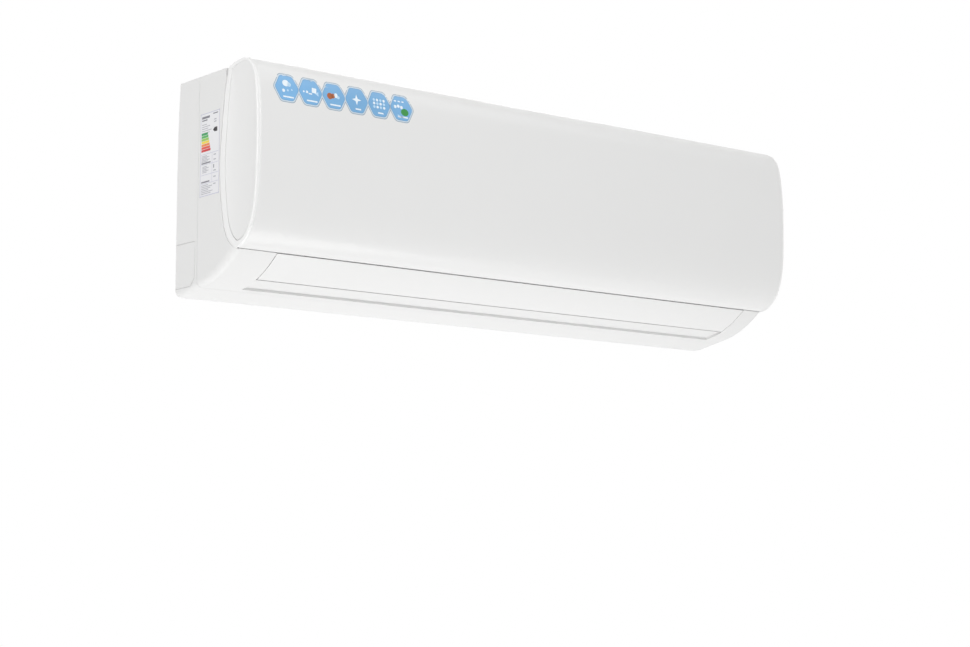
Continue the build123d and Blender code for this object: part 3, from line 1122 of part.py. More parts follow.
def cap_outline(x, gap):
    """The panel's end outline drawn in by its rim, which is wide at the rear and narrow in front."""
    whole = lens(x)
    rear = whole.moved(Location((0, -CAP_RIM - gap, 0)))
    front = whole.moved(Location((0, CAP_EDGE + gap, 0)))
    below = whole.moved(Location((0, 0, -CAP_EDGE - gap)))
    return rear & front & below


with BuildPart() as front_panel:
    extrude(lens(WIDTH), amount=WIDTH)
    rims = []
    for edge in front_panel.edges():
        flat = edge.bounding_box().size.X < 0.01
        if flat and edge.center().Y < -(PANEL_DEPTH - 40):
            rims.append(edge)
    fillet(rims, PANEL_EDGE)
    extrude(panel_hollow(WIDTH - PANEL_END), amount=WIDTH - 2 * PANEL_END, mode=Mode.SUBTRACT)
    behind_foot = (HINGE_DEPTH - 30, LOUVER_FRONT + LOUVER_GAP, PANEL_LOW - 30, PANEL_LOW)
    block(PANEL_END, WIDTH - PANEL_END, *behind_foot, mode=Mode.SUBTRACT)
    for x in HINGE_X:
        half = HINGE_LUG / 2 + 0.6
        block(x - half, x + half, HINGE_DEPTH - 4, HINGE_DEPTH + 6, HINGE_HEIGHT, PANEL_TOP + 2, mode=Mode.SUBTRACT)
        for side in (-1, 1):
            x0 = x + side * (half + HINGE_ARM / 2) - HINGE_ARM / 2
            arm = [(HINGE_DEPTH - 1, LENS_TOP[1] - 1.4), (HINGE_DEPTH - HINGE_BOSS, HINGE_HEIGHT)]
            arm += [(HINGE_DEPTH + HINGE_BOSS, HINGE_HEIGHT), (HINGE_DEPTH + 7, LENS_TOP[1] - 1)]
            prism(x0, x0 + HINGE_ARM, arm)
            rod(x0, x0 + HINGE_ARM, HINGE_DEPTH, HINGE_HEIGHT, HINGE_BOSS)
        rod(x - half - 1, x + half + 1, HINGE_DEPTH, HINGE_HEIGHT, HINGE_PIN)
    for plane_x, direction in ((0, -1), (WIDTH, 1)):
        extrude(cap_outline(plane_x, 0), amount=direction * CAP_SHEET, mode=Mode.SUBTRACT)
save(front_panel.part, "front_panel")

for name, plane_x, direction in (("panel_cap_left", 0, -1), ("panel_cap_right", WIDTH, 1)):
    with BuildPart() as panel_cap:
        extrude(cap_outline(plane_x, CAP_GAP), amount=direction * CAP_SHEET)
        extrude(cap_outline(plane_x, CAP_GAP), amount=direction * CAP_SINK, mode=Mode.SUBTRACT)
    save(panel_cap.part, name)


# ---- filters and the reset button ----

for name, x0, x1 in (("filter_left", FILTER_LEFT, POST_LEFT), ("filter_right", POST_RIGHT, FILTER_RIGHT)):
    with BuildPart() as filter_frame:
        half = FILTER_SHEET / 2
        left, right = x0 + FILTER_GAP, x1 - FILTER_GAP
        on_slope(left, right, -0.4, FILTER_LENGTH, -half, half)
        bay = (right - left - 8) / 4
        rows = (FILTER_LENGTH - 12) / 3
        for column in range(4):
            for row in range(3):
                start, down = left + 8 + bay * column, 10 + rows * row
                window = (start, start + bay - 8, down, down + rows - 6)
                on_slope(*window, -half - 1, -0.25, mode=Mode.SUBTRACT)
                on_slope(*window, 0.25, half + 1, mode=Mode.SUBTRACT)
        middle = (x0 + x1) / 2
        grip = [(FILTER_TOP - 8, CASE_HEIGHT + 0.3), (FILTER_TOP + 1.2, CASE_HEIGHT + 0.3)]
        grip += [(FILTER_TOP + 1.0, CASE_HEIGHT + 1.9), (FILTER_TOP - 8, CASE_HEIGHT + 1.9)]
        prism(middle - 22, middle + 22, grip)
    save(filter_frame.part, name)

with BuildPart() as reset_button:
    front = COVER_PLATE + 2
    peg(BUTTON_X, COVER_PLATE - 1.5, front + 2.2, BUTTON_HEIGHT, BUTTON_RADIUS)
    peg(BUTTON_X, COVER_PLATE - 1.5, COVER_PLATE - 0.3, BUTTON_HEIGHT, BUTTON_RADIUS + 1.6)
save(reset_button.part, "reset_button")
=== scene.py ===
import json
import math

import bmesh
import bpy
from mathutils import Matrix, Vector
from mathutils.bvhtree import BVHTree

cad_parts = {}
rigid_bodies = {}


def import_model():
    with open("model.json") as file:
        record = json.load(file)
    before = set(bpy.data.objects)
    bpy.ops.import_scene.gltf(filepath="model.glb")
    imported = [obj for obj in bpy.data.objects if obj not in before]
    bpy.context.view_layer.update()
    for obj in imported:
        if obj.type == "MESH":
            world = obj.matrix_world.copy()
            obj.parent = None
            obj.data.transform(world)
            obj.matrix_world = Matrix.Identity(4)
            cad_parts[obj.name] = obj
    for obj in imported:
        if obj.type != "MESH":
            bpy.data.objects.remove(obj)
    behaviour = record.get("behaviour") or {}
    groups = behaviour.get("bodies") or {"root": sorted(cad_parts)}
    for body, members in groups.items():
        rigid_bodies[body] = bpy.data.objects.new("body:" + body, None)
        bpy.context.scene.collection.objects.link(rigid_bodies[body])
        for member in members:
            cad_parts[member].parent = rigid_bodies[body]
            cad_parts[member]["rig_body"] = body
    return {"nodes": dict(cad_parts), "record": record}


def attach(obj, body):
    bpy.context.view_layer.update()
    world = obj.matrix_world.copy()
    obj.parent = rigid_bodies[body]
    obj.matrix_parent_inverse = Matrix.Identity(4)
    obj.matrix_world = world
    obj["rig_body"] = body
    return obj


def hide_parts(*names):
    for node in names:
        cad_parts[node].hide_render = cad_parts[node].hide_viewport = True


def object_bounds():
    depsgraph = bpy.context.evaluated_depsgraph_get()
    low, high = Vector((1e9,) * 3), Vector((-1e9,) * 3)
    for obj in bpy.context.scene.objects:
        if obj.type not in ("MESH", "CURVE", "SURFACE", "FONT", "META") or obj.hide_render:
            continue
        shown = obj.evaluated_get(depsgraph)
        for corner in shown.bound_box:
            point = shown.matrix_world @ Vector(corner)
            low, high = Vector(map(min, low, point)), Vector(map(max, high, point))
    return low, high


# Looks of the mini split indoor unit. The scene is in metres: +X is the viewer's right, the front
# faces -Y, the wall is the plane Y = 0 and +Z is up. Named sizes of the unit are in millimetres.

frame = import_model()
cad_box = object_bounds()
nodes = frame["nodes"]

MM = 0.001
scene = bpy.context.scene


# ---- camera, at the photograph's angle ----

CAMERA_PLACE = (-1.6696, -2.0946, -0.5004)
CAMERA_YAW = math.radians(39.198)  # to the right of straight at the wall
CAMERA_PITCH = math.radians(7.544)  # upwards
CAMERA_ROLL = math.radians(-0.078)
CAMERA_LENS = 80.21


def make_camera():
    """The camera that sees the unit as the photograph does."""
    data = bpy.data.cameras.new("camera")
    data.lens = CAMERA_LENS
    data.sensor_width = 36.0
    data.sensor_fit = "HORIZONTAL"
    camera = bpy.data.objects.new("camera", data)
    scene.collection.objects.link(camera)
    turn = Matrix.Rotation(-CAMERA_YAW, 4, "Z")
    turn = turn @ Matrix.Rotation(math.pi / 2 + CAMERA_PITCH, 4, "X")
    turn = turn @ Matrix.Rotation(CAMERA_ROLL, 4, "Z")
    camera.matrix_world = Matrix.Translation(CAMERA_PLACE) @ turn
    scene.camera = camera


# ---- shader helpers ----


def new_tree_material(name):
    """A material with an empty node tree."""
    material = bpy.data.materials.new(name)
    material.use_nodes = True
    material.node_tree.nodes.clear()
    return material


def add(tree, kind, values=None, **settings):
    """Add a shader node, set its properties and the fixed values of its sockets."""
    node = tree.nodes.new(kind)
    for key, value in settings.items():
        setattr(node, key, value)
    for key, value in (values or {}).items():
        node.inputs[key].default_value = value
    return node


def join(tree, *pairs):
    """Link outputs to inputs, given in pairs."""
    for output, socket in pairs:
        tree.links.new(output, socket)


def mix_colours(tree, factor, first, second):
    """Mix two colours; each of the three may be a socket or a value."""
    node = add(tree, "ShaderNodeMix", data_type="RGBA")
    for value, key in ((factor, 0), (first, 6), (second, 7)):
        if isinstance(value, bpy.types.NodeSocket):
            tree.links.new(value, node.inputs[key])
        else:
            node.inputs[key].default_value = value
    return node.outputs[2]


def arithmetic(tree, operation, *values, clamp=False):
    """A Math node on sockets or values."""
    node = add(tree, "ShaderNodeMath", operation=operation, use_clamp=clamp)
    for index, value in enumerate(values):
        if isinstance(value, bpy.types.NodeSocket):
            tree.links.new(value, node.inputs[index])
        else:
            node.inputs[index].default_value = value
    return node.outputs[0]


def new_group(name, inputs, outputs):
    """A shader node group with named inputs and outputs, and its two end nodes."""
    tree = bpy.data.node_groups.new(name, "ShaderNodeTree")
    for label, kind, value in inputs:
        socket = tree.interface.new_socket(label, in_out="INPUT", socket_type=kind)
        if value is not None:
            socket.default_value = value
    for label, kind in outputs:
        tree.interface.new_socket(label, in_out="OUTPUT", socket_type=kind)
    start = tree.nodes.new("NodeGroupInput")
    end = tree.nodes.new("NodeGroupOutput")
    return tree, start.outputs, end.inputs


FLOAT = "NodeSocketFloat"
COLOUR = "NodeSocketColor"


# ---- shader groups: moulded plastic and metal ----

DUST_COLOUR = (0.46, 0.43, 0.39, 1)
MARK_STRENGTH = 0.03  # how far handling marks change the roughness
DUST_ROUGHNESS = 0.5
TARNISH_ROUGHNESS = 0.35
BRUSH_SCALE = (12.0, 900.0, 900.0)  # long along X, fine across it


def moulded_group():
    """Moulded plastic: uneven colour, fine grain, faint sink waves, handling marks and dust on top."""
    inputs = (
        ("Colour", COLOUR, (0.8, 0.8, 0.8, 1)),
        ("Roughness", FLOAT, 0.4),
        ("Grain Size", FLOAT, 0.0008),
        ("Unevenness", FLOAT, 0.03),
        ("Dust", FLOAT, 0.1),
    )
    outputs = (("Colour", COLOUR), ("Roughness", FLOAT), ("Height", FLOAT))
    tree, given, result = new_group("moulded_plastic", inputs, outputs)
    coords = add(tree, "ShaderNodeTexCoord").outputs["Object"]
    geometry = add(tree, "ShaderNodeNewGeometry")

    cloud = add(tree, "ShaderNodeTexNoise", {"Scale": 5.0, "Detail": 4.0, "Roughness": 0.6})
    flow = add(tree, "ShaderNodeTexNoise", {"Scale": 26.0, "Detail": 2.0, "Distortion": 0.6})
    grain = add(tree, "ShaderNodeTexVoronoi", feature="SMOOTH_F1")
    fine = add(tree, "ShaderNodeTexNoise", {"Detail": 1.0})
    smudge = add(tree, "ShaderNodeTexNoise", {"Scale": 22.0, "Detail": 3.0, "Roughness": 0.55})
    for texture in (cloud, flow, grain, fine, smudge):
        tree.links.new(coords, texture.inputs["Vector"])
    scale = arithmetic(tree, "DIVIDE", 1.0, given["Grain Size"])
    coarser = arithmetic(tree, "MULTIPLY", scale, 0.45)
    join(tree, (scale, grain.inputs["Scale"]), (coarser, fine.inputs["Scale"]))

    shift = arithmetic(tree, "SUBTRACT", cloud.outputs["Fac"], 0.5)
    shift = arithmetic(tree, "MULTIPLY", shift, given["Unevenness"])
    level = arithmetic(tree, "ADD", shift, 1.0)
    toned = add(tree, "ShaderNodeVectorMath", operation="SCALE")
    join(tree, (given["Colour"], toned.inputs[0]), (level, toned.inputs["Scale"]))

    upward = add(tree, "ShaderNodeSeparateXYZ")
    tree.links.new(geometry.outputs["Normal"], upward.inputs[0])
    settled = add(tree, "ShaderNodeMapRange", {"From Min": 0.35, "From Max": 0.95})
    tree.links.new(upward.outputs["Z"], settled.inputs["Value"])
    patchy = add(tree, "ShaderNodeMapRange", {"From Min": 0.35, "From Max": 0.7})
    tree.links.new(smudge.outputs["Fac"], patchy.inputs["Value"])
    dust = arithmetic(tree, "MULTIPLY", settled.outputs[0], patchy.outputs[0])
    dust = arithmetic(tree, "MULTIPLY", dust, given["Dust"], clamp=True)
    colour = mix_colours(tree, dust, toned.outputs[0], DUST_COLOUR)

    marks = arithmetic(tree, "SUBTRACT", smudge.outputs["Fac"], 0.5)
    marks = arithmetic(tree, "MULTIPLY", marks, MARK_STRENGTH)
    rough = arithmetic(tree, "ADD", given["Roughness"], marks)
    dulled = arithmetic(tree, "MULTIPLY", dust, DUST_ROUGHNESS)
    rough = arithmetic(tree, "ADD", rough, dulled, clamp=True)

    height = arithmetic(tree, "MULTIPLY", grain.outputs["Distance"], 0.5)
    height = arithmetic(tree, "ADD", height, arithmetic(tree, "MULTIPLY", fine.outputs["Fac"], 0.5))
    height = arithmetic(tree, "ADD", height, arithmetic(tree, "MULTIPLY", flow.outputs["Fac"], 0.35))
    join(tree, (colour, result["Colour"]), (rough, result["Roughness"]), (height, result["Height"]))
    return tree


def metal_group():
    """Sheet or drawn metal: crystal patches, fine brushing along X, and tarnish."""
    inputs = (
        ("Colour", COLOUR, (0.6, 0.6, 0.6, 1)),
        ("Tarnish Colour", COLOUR, (0.3, 0.3, 0.3, 1)),
        ("Tarnish", FLOAT, 0.2),
        ("Patch Size", FLOAT, 0.008),
        ("Patches", FLOAT, 0.3),
        ("Brushing", FLOAT, 0.3),
        ("Roughness", FLOAT, 0.35),
    )
    outputs = (("Colour", COLOUR), ("Roughness", FLOAT), ("Height", FLOAT))
    tree, given, result = new_group("bare_metal", inputs, outputs)
    coords = add(tree, "ShaderNodeTexCoord").outputs["Object"]
    crystal = add(tree, "ShaderNodeTexVoronoi")
    join(
        tree,
        (coords, crystal.inputs["Vector"]),
        (arithmetic(tree, "DIVIDE", 1.0, given["Patch Size"]), crystal.inputs["Scale"]),
    )
    split = add(tree, "ShaderNodeSeparateColor")
    tree.links.new(crystal.outputs["Color"], split.inputs[0])
    patch = arithmetic(tree, "SUBTRACT", split.outputs[0], 0.5)
    patch = arithmetic(tree, "MULTIPLY", patch, given["Patches"])

    along = add(tree, "ShaderNodeMapping", {"Scale": BRUSH_SCALE})
    brush = add(tree, "ShaderNodeTexNoise", {"Scale": 1.0, "Detail": 3.0})
    join(tree, (coords, along.inputs["Vector"]), (along.outputs[0], brush.inputs["Vector"]))
    stroke = arithmetic(tree, "SUBTRACT", brush.outputs["Fac"], 0.5)
    stroke = arithmetic(tree, "MULTIPLY", stroke, given["Brushing"])

    stain = add(tree, "ShaderNodeTexNoise", {"Scale": 30.0, "Detail": 6.0, "Roughness": 0.65})
    tree.links.new(coords, stain.inputs["Vector"])
    spread = add(tree, "ShaderNodeMapRange", {"From Min": 0.42, "From Max": 0.72})
    tree.links.new(stain.outputs["Fac"], spread.inputs["Value"])
    tarnish = arithmetic(tree, "MULTIPLY", spread.outputs[0], given["Tarnish"], clamp=True)

    level = arithmetic(tree, "ADD", arithmetic(tree, "ADD", patch, stroke), 1.0)
    toned = add(tree, "ShaderNodeVectorMath", operation="SCALE")
    join(tree, (given["Colour"], toned.inputs[0]), (level, toned.inputs["Scale"]))
    colour = mix_colours(tree, tarnish, toned.outputs[0], given["Tarnish Colour"])
    rough = arithmetic(tree, "ADD", given["Roughness"], arithmetic(tree, "MULTIPLY", patch, 0.4))
    dulled = arithmetic(tree, "MULTIPLY", tarnish, TARNISH_ROUGHNESS)
    rough = arithmetic(tree, "ADD", rough, dulled, clamp=True)
    height = arithmetic(tree, "ADD", stroke, arithmetic(tree, "MULTIPLY", patch, 0.3))
    join(tree, (colour, result["Colour"]), (rough, result["Roughness"]), (height, result["Height"]))
    return tree


MOULDED = moulded_group()
METAL = metal_group()


def finish_surface(material, group, bump, bevel=0.0, metallic=0.0, coat=0.0, coat_roughness=0.1, ior=1.5):
    """The Principled shader of a material, fed by a surface group, with bump and softened edges."""
    tree = material.node_tree
    shader = add(tree, "ShaderNodeBsdfPrincipled", {
        "Metallic": metallic,
        "IOR": ior,
        "Coat Weight": coat,
        "Coat Roughness": coat_roughness,
    })
    relief = add(tree, "ShaderNodeBump", {"Strength": 1.0, "Distance": bump})
    output = add(tree, "ShaderNodeOutputMaterial")
    join(
        tree,
        (group.outputs["Colour"], shader.inputs["Base Color"]),
        (group.outputs["Roughness"], shader.inputs["Roughness"]),
        (group.outputs["Height"], relief.inputs["Height"]),
        (relief.outputs["Normal"], shader.inputs["Normal"]),
        (shader.outputs[0], output.inputs["Surface"]),
    )
    if bevel:
        edge = add(tree, "ShaderNodeBevel", {"Radius": bevel}, samples=4)
        tree.links.new(edge.outputs["Normal"], relief.inputs["Normal"])
    return material


def plastic(name, colour, roughness, grain=0.9, relief=0.012, dust=0.15, uneven=0.03, bevel=0.3, coat=0.0):
    """A moulded plastic; grain, relief and bevel are in millimetres."""
    material = new_tree_material(name)
    group = add(material.node_tree, "ShaderNodeGroup", node_tree=MOULDED)
    values = {
        "Colour": (*colour, 1),
        "Roughness": roughness,
        "Grain Size": grain * MM,
        "Unevenness": uneven,
        "Dust": dust,
    }
    for key, value in values.items():
        group.inputs[key].default_value = value
    return finish_surface(material, group, relief * MM, bevel * MM, coat=coat)


METAL_RELIEF = 0.02
METAL_BEVEL = 0.2


def metal(name, colour, tarnish_colour, tarnish, patch=8.0, patches=0.0, brushing=0.25, roughness=0.35):
    """A bare metal; the patch size is in millimetres."""
    material = new_tree_material(name)
    group = add(material.node_tree, "ShaderNodeGroup", node_tree=METAL)
    values = {
        "Colour": (*colour, 1),
        "Tarnish Colour": (*tarnish_colour, 1),
        "Tarnish": tarnish,
        "Patch Size": patch * MM,
        "Patches": patches,
        "Brushing": brushing,
        "Roughness": roughness,
    }
    for key, value in values.items():
        group.inputs[key].default_value = value
    return finish_surface(material, group, METAL_RELIEF * MM, METAL_BEVEL * MM, metallic=1.0)


FINISHES = {
    "white_gloss": plastic("panel_white", (0.79, 0.79, 0.785), 0.3, grain=1.4, relief=0.004, coat=0.25),
    # the rim is the panel's own plastic; its lighter white is a painted highlight for the light its
    # rounded band catches
    "white_rim": plastic("panel_rim_painted_highlight", (0.86, 0.86, 0.855), 0.3, grain=1.4, relief=0.004, coat=0.25),
    "white_cap": plastic("end_cap_white", (0.8, 0.8, 0.795), 0.4, grain=0.9, relief=0.01),
    "white_satin": plastic("casing_white", (0.77, 0.77, 0.765), 0.46, grain=0.7, relief=0.014),
    "grey_plastic": plastic("elbow_grey", (0.13, 0.135, 0.14), 0.5),
    "black_plastic": plastic("part_black", (0.018, 0.018, 0.02), 0.42, grain=0.5),
    "blue_filter": plastic("filter_blue", (0.13, 0.22, 0.34), 0.45),
    "net": plastic("net_blue", (0.09, 0.13, 0.19), 0.6, grain=0.4),
    "fan_plastic": plastic("fan_grey", (0.035, 0.037, 0.04), 0.4, dust=0.3),
    "rubber": plastic("rubber_black", (0.012, 0.012, 0.012), 0.75, grain=0.4, relief=0.03),
    "board": plastic("board_green", (0.02, 0.12, 0.05), 0.35, grain=0.5),
    "galvanised": metal("plate_zinc", (0.56, 0.58, 0.6), (0.4, 0.41, 0.42), 0.35, patch=7.0, patches=0.22,
                        brushing=0.08, roughness=0.42),
    "steel": metal("screw_steel", (0.58, 0.57, 0.55), (0.3, 0.28, 0.26), 0.2, roughness=0.28),
    "fins": metal("fin_aluminium", (0.74, 0.76, 0.78), (0.5, 0.52, 0.55), 0.3, roughness=0.4),
    "copper": metal("pipe_copper", (0.72, 0.33, 0.2), (0.3, 0.14, 0.09), 0.5, roughness=0.32),
    "brass": metal("union_brass", (0.72, 0.52, 0.22), (0.4, 0.27, 0.12), 0.3, roughness=0.3),
}

SLOT_OF = {row["node"]: row["material_slot"] for row in frame["record"]["subparts"]}


def dress_nodes():
    """Give each carried-over CAD node the finish of its record slot."""
    for name, node in nodes.items():
        node.data.materials.clear()
        node.data.materials.append(FINISHES[SLOT_OF[name]])


# ---- stage and light ----

FLOOR_LEVEL = -2.0  # the unit hangs about two metres up
FLOOR_SIZE = 14.0
BACKGROUND_SHARE = 0.85  # how much of the floor's look is plain white, so that a faint shadow stays


def seen_directly(tree):
    """1 for camera, mirror and see-through rays, which then find a white background."""
    path = add(tree, "ShaderNodeLightPath").outputs
    seen = arithmetic(tree, "MAXIMUM", path["Is Camera Ray"], path["Is Glossy Ray"])
    return arithmetic(tree, "MAXIMUM", seen, path["Is Transmission Ray"])


def make_floor():
    """A pale plain floor well below the unit."""
    material = new_tree_material("floor_paper")
    tree = material.node_tree
    paper = add(tree, "ShaderNodeBsdfPrincipled", {"Roughness": 0.9})
    fibre = add(tree, "ShaderNodeTexNoise", {"Scale": 3.0, "Detail": 4.0})
    coords = add(tree, "ShaderNodeTexCoord").outputs["Object"]
    tree.links.new(coords, fibre.inputs["Vector"])
    shade = mix_colours(tree, fibre.outputs["Fac"], (0.84, 0.84, 0.84, 1), (0.88, 0.88, 0.88, 1))
    tree.links.new(shade, paper.inputs["Base Color"])
    glow = add(tree, "ShaderNodeEmission", {"Color": (1, 1, 1, 1), "Strength": 1.0})
    blend = add(tree, "ShaderNodeMixShader")
    output = add(tree, "ShaderNodeOutputMaterial")
    share = arithmetic(tree, "MULTIPLY", seen_directly(tree), BACKGROUND_SHARE)
    join(
        tree,
        (share, blend.inputs[0]),
        (paper.outputs[0], blend.inputs[1]),
        (glow.outputs[0], blend.inputs[2]),
        (blend.outputs[0], output.inputs["Surface"]),
    )
    mesh = bpy.data.meshes.new("floor")
    bm = bmesh.new()
    bmesh.ops.create_grid(bm, x_segments=1, y_segments=1, size=FLOOR_SIZE / 2)
    bmesh.ops.translate(bm, verts=bm.verts, vec=(0, 0, FLOOR_LEVEL))
    bm.to_mesh(mesh)
    bm.free()
    floor = bpy.data.objects.new("floor", mesh)
    scene.collection.objects.link(floor)
    floor.data.materials.append(material)


AMBIENT = 0.5
LAMPS = (
    # name, place, point it looks at, width, height, power in watts
    ("front_box", (-1.2, -2.5, 1.1), (0.0, -0.1, 0.0), 1.8, 1.6, 31.0),
    ("left_box", (-2.6, 0.1, 0.2), (-0.3, -0.08, 0.0), 1.6, 1.6, 18.0),
    ("low_box", (-0.1, -0.15, -1.6), (0.0, -0.08, 0.0), 2.4, 1.4, 18.5),
    ("top_box", (0.6, -1.2, 2.0), (0.0, -0.1, 0.0), 2.0, 2.0, 9.0),
    ("back_box", (0.9, 2.0, 0.9), (0.0, 0.0, 0.0), 2.0, 1.4, 10.0),
)


def make_lights():
    """Even ambient light, a white background and the soft boxes."""
    world = bpy.data.worlds.new("studio")
    scene.world = world
    world.use_nodes = True
    tree = world.node_tree
    tree.nodes.clear()
    seen = add(tree, "ShaderNodeBackground", {"Color": (1, 1, 1, 1), "Strength": 1.0})
    light = add(tree, "ShaderNodeBackground", {"Color": (1, 1, 1, 1), "Strength": AMBIENT})
    blend = add(tree, "ShaderNodeMixShader")
    output = add(tree, "ShaderNodeOutputWorld")
    join(
        tree,
        (seen_directly(tree), blend.inputs[0]),
        (light.outputs[0], blend.inputs[1]),
        (seen.outputs[0], blend.inputs[2]),
        (blend.outputs[0], output.inputs["Surface"]),
    )
    for name, position, target, width, height, power in LAMPS:
        data = bpy.data.lights.new(name, "AREA")
        data.shape = "RECTANGLE"
        data.size = width
        data.size_y = height
        data.energy = power
        lamp = bpy.data.objects.new(name, data)
        lamp.location = position
        aim = Vector(target) - Vector(position)
        lamp.rotation_euler = aim.to_track_quat("-Z", "Y").to_euler()
        lamp.visible_camera = False
        scene.collection.objects.link(lamp)


# ---- mesh helpers ----

MERGE = 0.002 * MM


def at(x, depth, height):
    """A point from its x off the unit's left side, its depth and its height, all in millimetres."""
    low, high = cad_box
    return Vector((low.x + x * MM, -depth * MM, low.z + height * MM))


def copy_of(name):
    """A CAD node's mesh with its loose triangles joined."""
    bm = bmesh.new()
    bm.from_mesh(nodes[name].data)
    bmesh.ops.remove_doubles(bm, verts=bm.verts, dist=MERGE)
    return bm


def make_piece(bm, name, material, body, smooth=30.0):
    """Turn a bmesh into a piece that rides on a body; edges sharper than the angle stay sharp."""
    mesh = bpy.data.meshes.new(name)
    bm.to_mesh(mesh)
    bm.free()
    if "custom_normal" in mesh.attributes:
        mesh.attributes.remove(mesh.attributes["custom_normal"])
    mesh.shade_smooth()
    mesh.set_sharp_from_angle(angle=math.radians(smooth))
    piece = bpy.data.objects.new(name, mesh)
    scene.collection.objects.link(piece)
    mesh.materials.append(material)
    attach(piece, body)
    return piece


def cut_off(bm, x, side):
    """Cut a mesh at x and drop what lies beyond it on that side; returns the edges of the cut."""
    everything = [*bm.verts, *bm.edges, *bm.faces]
    cut = bmesh.ops.bisect_plane(
        bm, geom=everything, dist=MERGE, plane_co=(x, 0, 0), plane_no=(side, 0, 0), clear_outer=True
    )
    return [item for item in cut["geom_cut"] if isinstance(item, bmesh.types.BMEdge)]


# ---- front panel with its rimmed ends, and the dished end caps ----

END_CUT = 3.2  # how far in from its end plane the panel's plain part stops
END_ROUND = 6.0  # radius of the rounding between the panel's face and its ends
FOOT_REAR = 123.7  # depth of the back of the panel's foot, just in front of the louver
FOOT_TOP = 45.0
FOOT_SHIFT = 0.45  # the foot is thickened by this much towards the louver
LIP_CENTRE = (166.0, 252.0)  # depth and height that the rim's foot grows away from, to meet the casing
LIP_SCALE = (1.0083, 1.003)
RIM_CENTRE = (149.6, 178.6)  # depth and height that the rim's rings close in on
RIM_SCALE = (0.817, 0.949)  # size of the rim's inner edge against its outer one
RIM_RINGS = (
    # share of the way from the rim's outer edge to its inner one, distance in from the end plane
    (0.0, 0.75),
    (0.05, 0.5),
    (0.3, 0.3),
    (0.7, 0.06),
    (0.85, 0.0),
    (0.95, 0.06),
    (1.0, 0.22),
    (1.0, 3.1),
)
CAP_CENTRE = (131.0, 150.0)
CAP_RINGS = (
    # share of the cap's own size, distance in from the end plane
    (1.0, 0.26),
    (0.97, 0.45),
    (0.9, 0.88),
    (0.8, 1.42),
    (0.65, 2.05),
    (0.5, 2.5),
    (0.32, 2.85),
    (0.12, 3.0),
)
CAP_FLOOR = 3.05
CAP_GAP = 0.0008  # share of its size by which the cap is smaller than the rim's inner edge


RIM_HIGHLIGHT_MATERIAL = 1  # place of the rim's lighter white, a painted highlight, in the panel's list of materials


def end_plane(side):
    """X of the unit's left (-1) or right (1) end."""
    return cad_box[0].x if side < 0 else cad_box[1].x


def move_ring(bm, edges, side, inset, scale, centre):
    """Extrude a loop of edges to the next ring, scaled about a centre, at a distance in from the end."""
    grown = bmesh.ops.extrude_edge_only(bm, edges=edges)["geom"]
    verts = [item for item in grown if isinstance(item, bmesh.types.BMVert)]
    middle = at(0, *centre)
    bmesh.ops.scale(bm, vec=(1, *scale), space=Matrix.Translation(-middle), verts=verts)
    shift = end_plane(side) - side * inset * MM - verts[0].co.x
    bmesh.ops.translate(bm, vec=(shift, 0, 0), verts=verts)
    return [item for item in grown if isinstance(item, bmesh.types.BMEdge)]


def sharpen_ends(bm):
    """Push the rounding at the ends of the panel's face outwards, so that the face runs on to the rim."""
    for side in (-1, 1):
        for vert in bm.verts:
            inset = side * (end_plane(side) - vert.co.x) / MM
            flat = Vector((0, vert.normal.y, vert.normal.z))
            faces_front = flat.y < -0.05
            faces_end = abs(vert.normal.x) > 0.02
            if END_CUT - 0.01 < inset < END_ROUND - 0.01 and faces_front and faces_end:
                lost = END_ROUND - math.sqrt(END_ROUND ** 2 - (END_ROUND - inset) ** 2)
                vert.co += flat.normalized() * lost * MM


def thicken_foot(bm):
    """Bring the back of the panel's foot closer to the louver."""
    for vert in bm.verts:
        depth, height = -vert.co.y / MM, (vert.co.z - cad_box[0].z) / MM
        if height < FOOT_TOP + 0.1 and abs(depth - FOOT_REAR) < 0.1:
            vert.co.y += FOOT_SHIFT * MM


def rim_scale(share):
    """Scale in depth and height of a ring that lies this share of the way across the rim."""
    return tuple(1 - (1 - full) * share for full in RIM_SCALE)


def panel_copy():
    """The panel's mesh with crisp ends and a thicker foot."""
    bm = copy_of("front_panel")
    bm.normal_update()
    sharpen_ends(bm)
    thicken_foot(bm)
    return bm


def cut_end(bm, side):
    """Cut the panel's end off and return the edges of the cut."""
    return cut_off(bm, end_plane(side) - side * END_CUT * MM, side)


def make_panel():
    """The bowed panel with a rounded rim round each end; the rim is in a lighter white, a painted
    highlight.
    """
    bm = panel_copy()
    for side in (-1, 1):
        edges = cut_end(bm, side)
        edges = move_ring(bm, edges, side, END_CUT - 0.2, LIP_SCALE, LIP_CENTRE)
        before = (1.0, 1.0)
        plain = set(bm.faces)
        for share, inset in RIM_RINGS:
            size = rim_scale(share)
            step = (size[0] / before[0], size[1] / before[1])
            edges = move_ring(bm, edges, side, inset, step, RIM_CENTRE)
            before = size
        # the rim's faces take the lighter white, a painted highlight
        for face in bm.faces:
            if face not in plain:
                face.material_index = RIM_HIGHLIGHT_MATERIAL
        bmesh.ops.contextual_create(bm, geom=edges)
    bmesh.ops.recalc_face_normals(bm, faces=bm.faces)
    panel = make_piece(bm, "panel_shell", FINISHES["white_gloss"], "panel", smooth=50)
    # second material: the rim's lighter white, a painted highlight
    panel.data.materials.append(FINISHES["white_rim"])
    weighted = panel.modifiers.new("even_shading", "WEIGHTED_NORMAL")
    weighted.keep_sharp = True
    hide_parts("front_panel")


